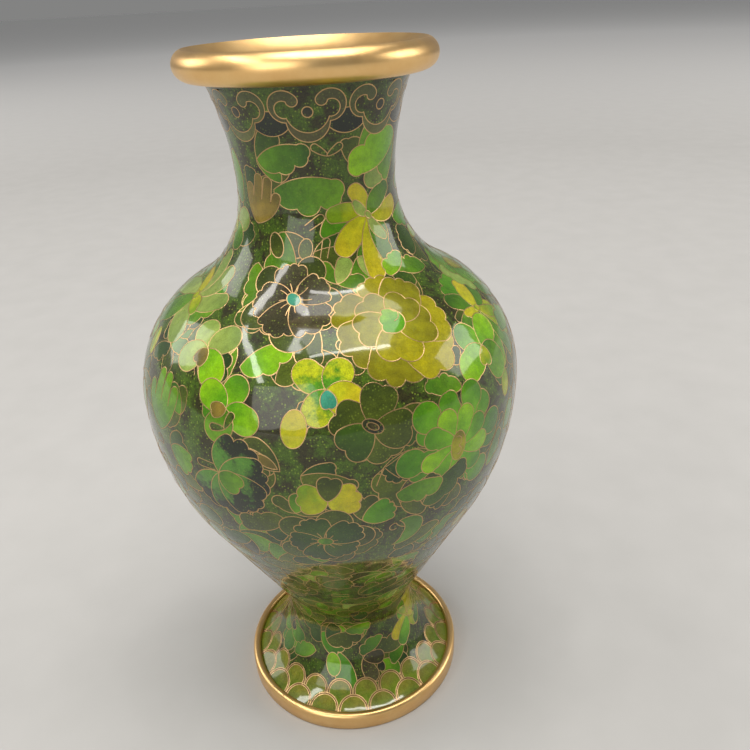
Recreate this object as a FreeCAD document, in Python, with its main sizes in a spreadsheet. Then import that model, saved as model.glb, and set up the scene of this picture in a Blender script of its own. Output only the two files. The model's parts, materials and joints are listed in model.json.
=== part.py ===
"""Cloisonne baluster vase: brazed copper shells, enamel with inlaid wires, gilt lip and foot ring.

The row frame has +Z up along the vase's axis, and its origin is at the centre of the foot's resting plane.
"""

import FreeCAD, Part
import Sketcher
import math
import os

# Driving dimensions in millimetres, except angles in degrees and counts.
DIMENSIONS = {
    # outline of the finished enamel surface, from the foot to the mouth
    "overall_height": 254.0,
    "foot_radius": 45.0,
    "flare_end_height": 6.0,
    "flare_arc": 29.3,
    "waist_radius": 26.0,
    "waist_height": 32.0,
    "waist_arc": 32.0,
    "taper_angle": 29.0,
    "belly_radius": 68.0,
    "girdle_height": 141.5,
    "shoulder_arc": 42.0,
    "neck_radius": 26.4,
    "neck_height": 211.0,
    "throat_arc": 92.0,
    "lip_radius": 41.5,
    "lip_roll": 4.8,
    "crest_angle": 70.0,
    "mouth_depth": 5.0,
    # layers of the wall
    "enamel_thickness": 1.2,
    "copper_thickness": 1.2,
    "lining_thickness": 0.6,
    # joints between the shells, and the tongues let into the foot ring and the lip ring
    "lap_angle": 4.0,
    "braze_gap": 0.2,
    "foot_tongue_angle": 3.0,
    "lip_tongue_angle": 1.4,
    # base
    "foot_edge_break": 0.6,
    "ring_inner_radius": 40.4,
    "ledge_radius": 36.6,
    "ledge_thickness": 1.4,
    "base_radius": 38.4,
    "base_height": 4.0,
    "base_thickness": 1.0,
    "base_enamel_thickness": 0.6,
    # wirework
    "wire_width": 0.4,
    "ruyi_count": 8,
    "ruyi_azimuth": -92.0,
    "ruyi_eye_height": 236.9,
    "ruyi_eye_radius": 1.6,
    "ruyi_lobe_offset": 6.6,
    "ruyi_lobe_rise": 1.7,
    "ruyi_lobe_radius": 4.7,
    "ruyi_bulb_radius": 1.7,
    "ruyi_bulb_angle": 35.0,
    "ruyi_hollow_offset": 6.9,
    "ruyi_hollow_rise": 0.9,
    "ruyi_hollow_radius": 2.6,
    "ruyi_chin_radius": 6.6,
    "ruyi_chin_drop": 2.7,
    "ruyi_chin_band": 3.0,
    "pendant_radius": 7.9,
    "pendant_top": 0.5,
    "scale_count": 21,
    "scale_azimuth": -94.0,
    "lower_scale_radius": 5.75,
    "lower_scale_rise": 1.0,
    "upper_scale_radius": 4.95,
    "upper_scale_rise": 7.6,
    "scale_leg": 10.0,
}
SHEET_NAME = "Sizes"
PLANE_ROLE = "XZ_Plane"
STENCIL_INSIDE = 8.0  # a stencil's depth below the enamel surface, and its height above it
STENCIL_OUTSIDE = 3.0
NEARLY_ZERO = 1e-9

document = FreeCAD.newDocument("cloisonne_vase")
pieces = []
sheet_values = {}


def make_sheet():
    """Puts every driving dimension in a cell of its own, with its name as the alias."""
    sheet = document.addObject("Spreadsheet::Sheet", SHEET_NAME)
    for row, (name, value) in enumerate(DIMENSIONS.items(), start=1):
        sheet.set(f"A{row}", name)
        sheet.set(f"B{row}", str(value))
        sheet.setAlias(f"B{row}", name)
    document.recompute()
    return sheet


class Size:
    """A number kept beside the sheet expression that gives it, so that arithmetic keeps both."""

    def __init__(self, value, text=None):
        self.value = float(value)
        self.text = text or f"{value:g}"

    def joined(self, other, sign, value):
        return Size(value, f"({self.text} {sign} {other.text})")

    def __add__(self, other):
        other = as_size(other)
        return self.joined(other, "+", self.value + other.value)

    def __sub__(self, other):
        other = as_size(other)
        return self.joined(other, "-", self.value - other.value)

    def __mul__(self, other):
        other = as_size(other)
        return self.joined(other, "*", self.value * other.value)

    def __truediv__(self, other):
        other = as_size(other)
        return self.joined(other, "/", self.value / other.value)

    def __rmul__(self, other):
        return as_size(other) * self

    def __rsub__(self, other):
        return as_size(other) - self

    def __radd__(self, other):
        return as_size(other) + self


def as_size(number):
    return number if isinstance(number, Size) else Size(number)


def size(name):
    """The sheet's cell of that name."""
    return Size(DIMENSIONS[name], f"{SHEET_NAME}.{name}")


def root(a):
    return Size(math.sqrt(a.value), f"sqrt({a.text})")


def sine(a):
    return Size(math.sin(math.radians(a.value)), f"sin({a.text})")


def cosine(a):
    return Size(math.cos(math.radians(a.value)), f"cos({a.text})")


def arc_sine(a):
    return Size(math.degrees(math.asin(a.value)), f"asin({a.text}) / 1 deg")


class Bend:
    """A circular stretch of the vase's outline. Depth runs from the outer surface into the wall.

    side is 1 where the wall bulges outward, about a centre inside the vase, and -1 where it curves
    inward, about a centre outside. Angles are from the horizontal, positive upward, in degrees.
    """

    def __init__(self, centre_r, centre_z, radius, side):
        self.centre = (centre_r, centre_z)
        self.radius = radius
        self.side = side

    def reach(self, depth):
        return self.radius - self.side * depth

    def point(self, depth, angle):
        reach = self.reach(depth)
        return (
            self.centre[0] + self.side * (reach * cosine(angle)),
            self.centre[1] + reach * sine(angle),
        )


def lip_underside():
    """Height of the lip's flat underside, where the neck's enamel ends."""
    return size("overall_height") - size("lip_roll") * (1 + sine(size("crest_angle")))


def flare_crossing(flare, depth, height):
    """Where the flare's face at that depth crosses a height near the foot."""
    drop = flare.centre[1] - height
    reach = flare.reach(depth)
    return flare.centre[0] - root(reach * reach - drop * drop), height


def vase_bends():
    """The tangent chain of bends from the foot to the mouth, as a dict, and the angles where they meet."""
    waist_z = size("waist_height")
    girdle_z = size("girdle_height")
    neck_z = size("neck_height")
    taper = size("taper_angle")
    waist_arc = size("waist_arc")
    shoulder_arc = size("shoulder_arc")
    # the straight taper leaves the waist bend and meets the belly bend in tangency
    taper_r = size("waist_radius") + waist_arc * (1 - cosine(taper))
    taper_z = waist_z + waist_arc * sine(taper)
    belly_arc = (
        (girdle_z - taper_z) * sine(taper) - (size("belly_radius") - taper_r) * cosine(taper)
    ) / (1 - cosine(taper))
    # the neck bend meets the shoulder bend in tangency
    step_in = size("neck_radius") - (size("belly_radius") - shoulder_arc)
    rise = neck_z - girdle_z
    neck_arc = (rise * rise + step_in * step_in - shoulder_arc * shoulder_arc) / (
        2 * (shoulder_arc - step_in)
    )
    bends = {
        "flare": Bend(size("waist_radius") + size("flare_arc"), waist_z, size("flare_arc"), -1),
        "waist": Bend(size("waist_radius") + waist_arc, waist_z, waist_arc, -1),
        "belly": Bend(size("belly_radius") - belly_arc, girdle_z, belly_arc, 1),
        "shoulder": Bend(size("belly_radius") - shoulder_arc, girdle_z, shoulder_arc, 1),
        "neck": Bend(size("neck_radius") + neck_arc, neck_z, neck_arc, -1),
        "throat": Bend(size("neck_radius") + size("throat_arc"), neck_z, size("throat_arc"), -1),
    }
    angles = {
        "level": Size(0),
        "flare_end": -1 * arc_sine((waist_z - size("flare_end_height")) / size("flare_arc")),
        "taper": taper,
        "shoulder": arc_sine(rise / (shoulder_arc + neck_arc)),
        "throat_end": arc_sine((lip_underside() - neck_z) / size("throat_arc")),
        "lap": size("lap_angle"),
    }
    return bends, angles


def add_revolved(label, start, steps):
    """A PartDesign body: a closed outline in the XZ plane, turned about the vase's axis.

    start and every step's end are (r, z) pairs of Size. A step is (end,) for a straight line, or
    (end, bend, depth, way) for an arc on that bend at that depth, way 1 for anticlockwise.
    """
    body = document.addObject("PartDesign::Body", label)
    body.Label = label
    plane = next(f for f in body.Origin.OriginFeatures if f.Role == PLANE_ROLE)
    sketch = body.newObject("Sketcher::SketchObject", f"{label}_outline")
    sketch.AttachmentSupport = (plane, [""])
    sketch.MapMode = "FlatFace"
    at = [start] + [step[0] for step in steps]
    for index, step in enumerate(steps):
        here, there = at[index], at[index + 1]
        if len(step) == 1:
            sketch.addGeometry(Part.LineSegment(flat(here), flat(there)))
        else:
            sketch.addGeometry(circle_arc(here, there, step[1], step[2], step[3]))
    for index, step in enumerate(steps):
        following = (index + 1) % len(steps)
        first, last = ends_of(step)
        next_first, _ = ends_of(steps[following])
        sketch.addConstraint(Sketcher.Constraint("Coincident", index, last, following, next_first))
        place_vertex(sketch, index, first, at[index])
        if len(step) > 1:
            reach = step[1].reach(step[2])
            bind(sketch, Sketcher.Constraint("Radius", index, reach.value), reach)
    turn = body.newObject("PartDesign::Revolution", f"{label}_turned")
    turn.Profile = sketch
    turn.ReferenceAxis = (sketch, ["V_Axis"])
    turn.Angle = 360.0
    body.Tip = turn
    return body


def ends_of(step):
    """The sketch's numbers for a step's first and last point: 1 and 2, or 2 and 1 on a clockwise arc."""
    clockwise = len(step) > 1 and step[3] < 0
    return (2, 1) if clockwise else (1, 2)


def flat(point):
    return FreeCAD.Vector(point[0].value, point[1].value, 0)


def circle_arc(here, there, bend, depth, way):
    """The arc from here to there, which OpenCascade always stores anticlockwise."""
    centre = flat(bend.centre)
    circle = Part.Circle(centre, FreeCAD.Vector(0, 0, 1), bend.reach(depth).value)
    low, high = (here, there) if way > 0 else (there, here)
    start, end = (
        math.atan2(v.y - centre.y, v.x - centre.x) for v in (flat(low), flat(high))
    )
    if end < start:
        end += 2 * math.pi
    return Part.ArcOfCircle(circle, start, end)


def place_vertex(sketch, geometry, end, point):
    """Fixes a vertex at its radius and height, each bound to the sheet."""
    r, z = point
    if abs(r.value) < NEARLY_ZERO:
        sketch.addConstraint(Sketcher.Constraint("PointOnObject", geometry, end, -2))
    else:
        bind(sketch, Sketcher.Constraint("DistanceX", -1, 1, geometry, end, r.value), r)
    if abs(z.value) < NEARLY_ZERO:
        sketch.addConstraint(Sketcher.Constraint("PointOnObject", geometry, end, -1))
    else:
        bind(sketch, Sketcher.Constraint("DistanceY", -1, 1, geometry, end, z.value), z)


def bind(sketch, constraint, value):
    index = sketch.addConstraint(constraint)
    sketch.setExpression(f"Constraints[{index}]", value.text)


def keep(shape_object, label):
    """Marks an object as a sub-part that is written out under that name."""
    shape_object.Label = label
    pieces.append(shape_object)
    return shape_object


def add_shape(label, shape):
    """An object whose shape is made directly, from sizes read off the sheet."""
    feature = document.addObject("Part::Feature", label)
    feature.Shape = shape
    return feature


def wall_layers():
    """Depths of the wall's faces: enamel outside, copper, then the lining."""
    skin = Size(0)
    copper_out = size("enamel_thickness")
    copper_in = copper_out + size("copper_thickness")
    lining_in = copper_in + size("lining_thickness")
    middle = copper_out + size("copper_thickness") / 2
    return skin, copper_out, middle, copper_in, lining_in


def band(bend, outer, inner, low, high):
    """Start and steps of a strip of wall on one bend, between two depths and two angles."""
    up, down = (1, -1) if bend.side > 0 else (-1, 1)
    return bend.point(outer, low), [
        (bend.point(outer, high), bend, outer, up),
        (bend.point(inner, high),),
        (bend.point(inner, low), bend, inner, down),
        (bend.point(outer, low),),
    ]


def add_enamel_grounds(bends, angles):
    """The four fired enamel coats, before any cells are let into them."""
    skin, copper_out, _, _, _ = wall_layers()
    flare, waist, belly = bends["flare"], bends["waist"], bends["belly"]
    shoulder, neck, throat = bends["shoulder"], bends["neck"], bends["throat"]
    level, taper, turn = angles["level"], angles["taper"], angles["shoulder"]
    pedestal = add_revolved(
        "pedestal_enamel_coat", *band(flare, skin, copper_out, angles["flare_end"], level)
    )
    lower = add_revolved(
        "belly_enamel",
        waist.point(skin, level),
        [
            (waist.point(skin, taper), waist, skin, -1),
            (belly.point(skin, -1 * taper),),
            (belly.point(skin, level), belly, skin, 1),
            (belly.point(copper_out, level),),
            (belly.point(copper_out, -1 * taper), belly, copper_out, -1),
            (waist.point(copper_out, taper),),
            (waist.point(copper_out, level), waist, copper_out, 1),
            (waist.point(skin, level),),
        ],
    )
    upper = add_revolved(
        "shoulder_enamel",
        shoulder.point(skin, level),
        [
            (shoulder.point(skin, turn), shoulder, skin, 1),
            (neck.point(skin, level), neck, skin, -1),
            (neck.point(copper_out, level),),
            (shoulder.point(copper_out, turn), neck, copper_out, 1),
            (shoulder.point(copper_out, level), shoulder, copper_out, -1),
            (shoulder.point(skin, level),),
        ],
    )
    top = add_revolved(
        "neck_enamel_coat", *band(throat, skin, copper_out, level, angles["throat_end"])
    )
    return pedestal, lower, upper, top


def add_copper_shells(bends, angles):
    """Five raised copper shells. Each one's upper edge is thinned to a tongue inside the next one's foot."""
    _, out, middle, inner, _ = wall_layers()
    gap = size("braze_gap") / 2
    flare, waist, belly = bends["flare"], bends["waist"], bends["belly"]
    shoulder, neck, throat = bends["shoulder"], bends["neck"], bends["throat"]
    level, taper, turn, lap = (angles[n] for n in ("level", "taper", "shoulder", "lap"))
    neck_start = -1 * turn
    foot_end = angles["flare_end"] - size("foot_tongue_angle")
    lip_end = angles["throat_end"] + size("lip_tongue_angle")

    def tongue(bend, start):
        """From the top of the outer face in to the tongue, up it, over and down its inner face."""
        return [
            (bend.point(middle + gap, start),),
            (bend.point(middle + gap, start + lap), bend, middle + gap, bend.side),
            (bend.point(inner, start + lap),),
            (bend.point(inner, start), bend, inner, -bend.side),
        ]

    def socket(bend, start):
        """From the shell's inner face above the lap down to its foot, round the tongue below."""
        return [
            (bend.point(middle - gap, start + lap),),
            (bend.point(middle - gap, start), bend, middle - gap, -bend.side),
            (bend.point(out, start),),
        ]

    shells = {
        "pedestal_shell": (
            flare.point(out, foot_end),
            [
                (flare.point(out, level), flare, out, -1),
                *tongue(waist, level),
                (flare.point(inner, foot_end), flare, inner, 1),
                (flare.point(out, foot_end),),
            ],
        ),
        "belly_shell": (
            waist.point(out, level),
            [
                (waist.point(out, taper), waist, out, -1),
                (belly.point(out, -1 * taper),),
                (belly.point(out, level), belly, out, 1),
                *tongue(shoulder, level),
                (belly.point(inner, -1 * taper), belly, inner, -1),
                (waist.point(inner, taper),),
                (waist.point(inner, lap), waist, inner, 1),
                *socket(waist, level),
            ],
        ),
        "shoulder_shell": (
            shoulder.point(out, level),
            [
                (shoulder.point(out, turn), shoulder, out, 1),
                *tongue(neck, neck_start),
                (shoulder.point(inner, lap), shoulder, inner, -1),
                *socket(shoulder, level),
            ],
        ),
        "neck_root_shell": (
            neck.point(out, neck_start),
            [
                (neck.point(out, level), neck, out, -1),
                *tongue(throat, level),
                (neck.point(inner, neck_start + lap), neck, inner, 1),
                *socket(neck, neck_start),
            ],
        ),
        "neck_shell": (
            throat.point(out, level),
            [
                (throat.point(out, lip_end), throat, out, -1),
                (throat.point(inner, lip_end),),
                (throat.point(inner, lap), throat, inner, 1),
                *socket(throat, level),
            ],
        ),
    }
    for name, (start, steps) in shells.items():
        keep(add_revolved(name, start, steps), name)
    brazes = {
        "waist_braze": (waist, level),
        "girdle_braze": (shoulder, level),
        "neck_root_braze": (neck, neck_start),
        "neck_braze": (throat, level),
    }
    for name, (bend, start) in brazes.items():
        keep(add_revolved(name, *band(bend, middle - gap, middle + gap, start, start + lap)), name)


def add_lining(bends, angles):
    """The counter-enamel: one fired coat over the inside wall and the floor."""
    _, _, _, outer, inner = wall_layers()
    flare, waist, belly = bends["flare"], bends["waist"], bends["belly"]
    shoulder, neck, throat = bends["shoulder"], bends["neck"], bends["throat"]
    level, taper, turn, mouth = (angles[n] for n in ("level", "taper", "shoulder", "throat_end"))
    floor_under = size("base_height") + size("base_thickness")
    floor_top = floor_under + size("lining_thickness")
    axis = Size(0)

    keep(
        add_revolved(
            "interior_lining",
            (axis, floor_under),
            [
                (flare_crossing(flare, outer, floor_under),),
                (flare.point(outer, level), flare, outer, -1),
                (waist.point(outer, taper), waist, outer, -1),
                (belly.point(outer, -1 * taper),),
                (belly.point(outer, level), belly, outer, 1),
                (shoulder.point(outer, turn), shoulder, outer, 1),
                (neck.point(outer, level), neck, outer, -1),
                (throat.point(outer, mouth), throat, outer, -1),
                (throat.point(inner, mouth),),
                (throat.point(inner, level), throat, inner, 1),
                (shoulder.point(inner, turn), neck, inner, 1),
                (belly.point(inner, level), shoulder, inner, -1),
                (belly.point(inner, -1 * taper), belly, inner, -1),
                (waist.point(inner, taper),),
                (waist.point(inner, level), waist, inner, 1),
                (flare_crossing(flare, inner, floor_top), flare, inner, 1),
                ((axis, floor_top),),
                ((axis, floor_under),),
            ],
        ),
        "interior_lining",
    )


def add_base():
    """The copper floor disc on the foot ring's ledge, and the enamel on its underside."""
    axis = Size(0)
    under = size("base_height")
    over = under + size("base_thickness")
    edge = size("base_radius")
    keep(
        add_revolved(
            "base_plate",
            (axis, under),
            [((edge, under),), ((edge, over),), ((axis, over),), ((axis, under),)],
        ),
        "base_plate",
    )
    inset = size("ledge_radius")
    lower = under - size("base_enamel_thickness")
    keep(
        add_revolved(
            "base_enamel",
            (axis, lower),
            [((inset, lower),), ((inset, under),), ((axis, under),), ((axis, lower),)],
        ),
        "base_enamel",
    )


def add_foot_ring(bends, angles):
    """The gilt foot ring: a rounded band with a groove for the pedestal's edge and a ledge for the floor."""
    skin, out, _, inner, _ = wall_layers()
    flare = bends["flare"]
    enamel_edge = angles["flare_end"]
    tip = enamel_edge - size("foot_tongue_angle")
    ledge_top = size("base_height")
    ledge_under = ledge_top - size("ledge_thickness")
    wall = size("ring_inner_radius")
    outside = size("foot_radius")
    edge_break = size("foot_edge_break")
    ground = Size(0)
    crown_radius = (outside - flare.point(skin, enamel_edge)[0]) / 2
    crown = Bend(outside - crown_radius, size("flare_end_height"), crown_radius, 1)
    keep(
        add_revolved(
            "foot_ring",
            (wall, ground),
            [
                ((outside - edge_break, ground),),
                ((outside, edge_break),),
                (crown.point(skin, Size(0)),),
                (crown.point(skin, Size(90)), crown, skin, 1),
                (flare.point(skin, enamel_edge), crown, skin, 1),
                (flare.point(out, enamel_edge),),
                (flare.point(out, tip), flare, out, 1),
                (flare.point(inner, tip),),
                (flare_crossing(flare, inner, ledge_top), flare, inner, -1),
                ((size("ledge_radius"), ledge_top),),
                ((size("ledge_radius"), ledge_under),),
                ((wall, ledge_under),),
                ((wall, ground),),
            ],
        ),
        "foot_ring",
    )


def add_lip_ring(bends, angles):
    """The gilt lip: a rolled ring with a funnel to the mouth and a groove for the neck's edge."""
    skin, out, _, inner, lining = wall_layers()
    throat = bends["throat"]
    end = angles["throat_end"]
    tip = end + size("lip_tongue_angle")
    crest = size("crest_angle")
    roll = size("lip_roll")
    roll_z = size("overall_height") - roll * sine(crest)
    roll_bend = Bend(size("lip_radius") - roll, roll_z, roll, 1)
    bore = throat.point(lining, end)[0]
    bore_top = size("overall_height") - size("mouth_depth")
    funnel_top = roll_bend.point(Size(0), crest)
    keep(
        add_revolved(
            "lip_ring",
            throat.point(skin, end),
            [
                (roll_bend.point(Size(0), Size(-90)),),
                (funnel_top, roll_bend, Size(0), 1),
                ((bore, bore_top),),
                (throat.point(lining, end),),
                (throat.point(inner, end),),
                (throat.point(inner, tip), throat, inner, -1),
                (throat.point(out, tip),),
                (throat.point(out, end), throat, out, 1),
                (throat.point(skin, end),),
            ],
        ),
        "lip_ring",
    )


# ---- wirework -------------------------------------------------------------------------------------
# A motif is drawn flat, in u to the right and v up the wall, and pushed straight through the enamel
# coat as a stencil. What the stencil shares with the coat is the fired wire or the colour in a cell.


def value(name):
    """The number in the sheet's cell of that name."""
    return sheet_values[name]


def circle_crossing(first, second, way):
    """Where two circles, each (u, v, radius), cross: to the left of the line between them if way is 1."""
    du, dv = second[0] - first[0], second[1] - first[1]
    apart = math.hypot(du, dv)
    along = (apart**2 + first[2] ** 2 - second[2] ** 2) / (2 * apart)
    aside = way * math.sqrt(first[2] ** 2 - along**2)
    return (
        first[0] + (along * du - aside * dv) / apart,
        first[1] + (along * dv + aside * du) / apart,
    )


def arc_on(circle, start, end, way):
    """The edge on a circle from start to end, each (u, v), anticlockwise if way is 1."""
    u, v, radius = circle
    begin = math.atan2(start[1] - v, start[0] - u)
    sweep = (math.atan2(end[1] - v, end[0] - u) - begin) % (2 * math.pi)
    if way < 0:
        sweep -= 2 * math.pi
    middle = begin + sweep / 2
    halfway = (u + radius * math.cos(middle), v + radius * math.sin(middle))
    return Part.Arc(*(FreeCAD.Vector(*p, 0) for p in (start, halfway, end))).toShape()


def straight(start, end):
    return Part.makeLine(FreeCAD.Vector(*start, 0), FreeCAD.Vector(*end, 0))


def mirrored(edges):
    return [e.mirror(FreeCAD.Vector(0, 0, 0), FreeCAD.Vector(1, 0, 0)) for e in edges]


def disc(circle):
    u, v, radius = circle
    return Part.Face(Part.Wire(Part.makeCircle(radius, FreeCAD.Vector(u, v, 0))))


def filled(edges):
    return Part.Face(Part.Wire(Part.__sortEdges__(edges)))


def spread(face, distance):
    """The face grown by a distance all round, or shrunk where that is negative."""
    return face.makeOffset2D(distance)


def ruyi_outline():
    """Half of one ruyi head about its eye: the under edge from chin to scroll, and the hollow's edge back."""
    offset, rise = value("ruyi_lobe_offset"), value("ruyi_lobe_rise")
    lobe = (offset, rise, value("ruyi_lobe_radius"))
    bulb_radius = value("ruyi_bulb_radius")
    turn = math.radians(180 - value("ruyi_bulb_angle"))
    swing = lobe[2] - bulb_radius
    bulb = (offset + swing * math.cos(turn), rise + swing * math.sin(turn), bulb_radius)
    tangent = (offset + lobe[2] * math.cos(turn), rise + lobe[2] * math.sin(turn))
    hollow = (value("ruyi_hollow_offset"), value("ruyi_hollow_rise"), value("ruyi_hollow_radius"))
    chin_under = (0.0, -value("ruyi_chin_drop"), value("ruyi_chin_radius"))
    chin_over = (0.0, chin_under[1] + value("ruyi_chin_band"), chin_under[2])
    notch = circle_crossing(lobe, chin_under, 1)
    corner = circle_crossing(hollow, chin_over, 1)
    nose = circle_crossing(hollow, bulb, -1)
    lowest = (0.0, chin_under[1] - chin_under[2])
    dip = (0.0, chin_over[1] - chin_over[2])
    under = [arc_on(chin_under, lowest, notch, 1), arc_on(lobe, notch, tangent, 1)]
    over = [
        arc_on(bulb, tangent, nose, 1),
        arc_on(hollow, nose, corner, -1),
        arc_on(chin_over, corner, dip, -1),
    ]
    return under, over, tangent


def ruyi_face():
    """The scrolled band of one ruyi head."""
    under, over, _ = ruyi_outline()
    return filled(under + over + mirrored(under + over))


def ruyi_hull():
    """The whole of one ruyi head, closed straight across between its scrolls."""
    under, _, tangent = ruyi_outline()
    return filled(under + mirrored(under) + [straight(tangent, (-tangent[0], tangent[1]))])


def pendant_face():
    """The scoop that hangs between two ruyi heads, about a point level with their eyes."""
    radius, top = value("pendant_radius"), value("pendant_top")
    half_width = math.sqrt(radius**2 - top**2)
    left, right = (-half_width, top), (half_width, top)
    return filled([arc_on((0.0, 0.0, radius), left, right, 1), straight(right, left)])


def scale_face(radius):
    """A fish scale: a round arch on two legs, about the arch's centre."""
    leg = value("scale_leg")
    left, right = (-radius, 0.0), (radius, 0.0)
    left_foot, right_foot = (-radius, -leg), (radius, -leg)
    return filled(
        [
            arc_on((0.0, 0.0, radius), right, left, 1),
            straight(left, left_foot),
            straight(left_foot, right_foot),
            straight(right_foot, right),
        ]
    )


def stencil(face, bend, angle, azimuth):
    """The face pushed through the wall, square to it, at a place given by its bend, angle and azimuth."""
    tilt = math.radians(angle)
    around = math.radians(azimuth)
    radial = FreeCAD.Vector(math.cos(around), math.sin(around), 0)
    upward = FreeCAD.Vector(0, 0, 1)
    r, z = (c.value for c in bend.point(Size(0), Size(angle)))
    right = FreeCAD.Vector(-math.sin(around), math.cos(around), 0)
    outward = radial * math.cos(tilt) + upward * (bend.side * math.sin(tilt))
    up_wall = upward * math.cos(tilt) - radial * (bend.side * math.sin(tilt))
    place = radial * r + upward * z
    prism = face.copy()
    prism.translate(FreeCAD.Vector(0, 0, -STENCIL_INSIDE))
    prism = prism.extrude(FreeCAD.Vector(0, 0, STENCIL_INSIDE + STENCIL_OUTSIDE))
    prism.Placement = FreeCAD.Placement(place, FreeCAD.Rotation(right, up_wall, outward, "ZYX"))
    return prism


def turned(shape, azimuth):
    copy = shape.copy()
    copy.rotate(FreeCAD.Vector(0, 0, 0), FreeCAD.Vector(0, 0, 1), azimuth)
    return copy


def ring_of(shape, count):
    """That many copies of a shape, evenly round the vase."""
    solids = [turned(shape, 360.0 * index / count).Solids for index in range(int(count))]
    return Part.Compound([solid for group in solids for solid in group])


class Motif:
    """One wire outline repeated round the vase: stencils for a wire, for its cell and for both together."""

    def __init__(self, face, place, count, neighbour=None):
        """place is a bend, an angle on it and an azimuth. The motif stays clear of its neighbour's faces."""
        wire = value("wire_width") / 2
        outer = spread(face, wire)
        inner = spread(face, -wire)
        forms = [stencil(flat_form, *place) for flat_form in (outer.cut(inner), inner, outer)]
        if neighbour is not None:
            for azimuth in (0.0, -360.0 / count):
                forms = [form.cut(turned(neighbour, azimuth)) for form in forms]
        self.wire, self.cell, self.room = (Part.Compound(form.Solids) for form in forms)
        self.count = count


def inlaid(coat, form, count, label):
    """A sub-part: what a coat shares with a stencil, repeated round the vase."""
    common = document.addObject("Part::Common", f"{label}_first")
    common.Base = coat
    common.Tool = add_shape(f"{label}_stencil", form)
    document.recompute()
    return keep(add_shape(label, ring_of(common.Shape, count)), label)


def remainder(coat, motifs, label):
    """A sub-part: the coat less the room that each motif takes."""
    left = coat
    for index, motif in enumerate(motifs, start=1):
        cut = document.addObject("Part::Cut", f"{label}_less_{index}")
        cut.Base = left
        cut.Tool = add_shape(f"{label}_room_{index}", ring_of(motif.room, motif.count))
        left = cut
    return keep(left, label)


def add_collar(coat, throat):
    """The ruyi collar under the lip, with a scoop between each two heads."""
    count = value("ruyi_count")
    azimuth = value("ruyi_azimuth")
    rise = value("ruyi_eye_height") - value("neck_height")
    angle = math.degrees(math.asin(rise / value("throat_arc")))
    at_head = (throat, angle, azimuth)
    heads = Motif(ruyi_face(), at_head, count)
    eyes = Motif(disc((0.0, 0.0, value("ruyi_eye_radius"))), at_head, count)
    hull = stencil(spread(ruyi_hull(), value("wire_width") / 2), *at_head)
    between = (throat, angle, azimuth - 180.0 / count)
    scoops = Motif(pendant_face(), between, count, hull)
    inlaid(coat, heads.wire, count, "ruyi_wires")
    inlaid(coat, heads.cell, count, "ruyi_band_enamel")
    inlaid(coat, eyes.wire, count, "ruyi_eye_wires")
    inlaid(coat, eyes.cell, count, "ruyi_eye_enamel")
    inlaid(coat, scoops.wire, count, "pendant_wires")
    inlaid(coat, scoops.cell, count, "pendant_enamel")
    remainder(coat, [heads, eyes, scoops], "neck_enamel")


def add_scales(coat, flare, lower_edge):
    """Two staggered rows of fish scales on the flare, the upper row tucked behind the lower."""
    count = value("scale_count")
    azimuth = value("scale_azimuth")
    lower_angle = lower_edge + math.degrees(value("lower_scale_rise") / value("flare_arc"))
    upper_angle = lower_edge + math.degrees(value("upper_scale_rise") / value("flare_arc"))
    lower_face = scale_face(value("lower_scale_radius"))
    upper_face = scale_face(value("upper_scale_radius"))
    lower = Motif(lower_face, (flare, lower_angle, azimuth), count)
    upper = Motif(upper_face, (flare, upper_angle, azimuth - 180.0 / count), count, lower.room)
    inlaid(coat, lower.wire, count, "lower_scale_wires")
    inlaid(coat, lower.cell, count, "lower_scale_enamel")
    inlaid(coat, upper.wire, count, "upper_scale_wires")
    inlaid(coat, upper.cell, count, "upper_scale_enamel")
    remainder(coat, [lower, upper], "pedestal_enamel")


def check_and_write():
    """Every object computed and every sub-part whole, and only then are the files written."""
    document.recompute()
    for thing in document.Objects:
        if "Invalid" in thing.State or "Error" in thing.State:
            raise RuntimeError(f"{thing.Label} failed: {thing.State}")
    for piece in pieces:
        shape = piece.Shape
        if shape.isNull() or not shape.isValid() or not shape.Solids:
            raise RuntimeError(f"{piece.Label} is not a whole solid")
    os.makedirs("parts", exist_ok=True)
    for piece in pieces:
        piece.Shape.exportStep(f"parts/{piece.Label}.step")
        box = piece.Shape.optimalBoundingBox(False)
        height = f"z {box.ZMin:.2f} to {box.ZMax:.2f}"
        print(f"{piece.Label}: {len(piece.Shape.Solids)} solids, {piece.Shape.Volume:.1f} mm3, {height}")


def main():
    sheet = make_sheet()
    sheet_values.update({name: float(sheet.get(name)) for name in DIMENSIONS})
    bends, angles = vase_bends()
    pedestal_coat, belly_coat, shoulder_coat, neck_coat = add_enamel_grounds(bends, angles)
    add_copper_shells(bends, angles)
    add_lining(bends, angles)
    add_base()
    add_foot_ring(bends, angles)
    add_lip_ring(bends, angles)
    keep(belly_coat, "belly_enamel")
    keep(shoulder_coat, "shoulder_enamel")
    add_collar(neck_coat, bends["throat"])
    add_scales(pedestal_coat, bends["flare"], angles["flare_end"].value)
    check_and_write()


main()
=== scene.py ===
"""Looks of the cloisonne vase: enamel cells and wires over the wall, gilt rings, studio and camera."""
import bisect
import json
import math
import random

import bpy
from mathutils import Matrix, Vector
from mathutils.geometry import delaunay_2d_cdt


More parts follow.
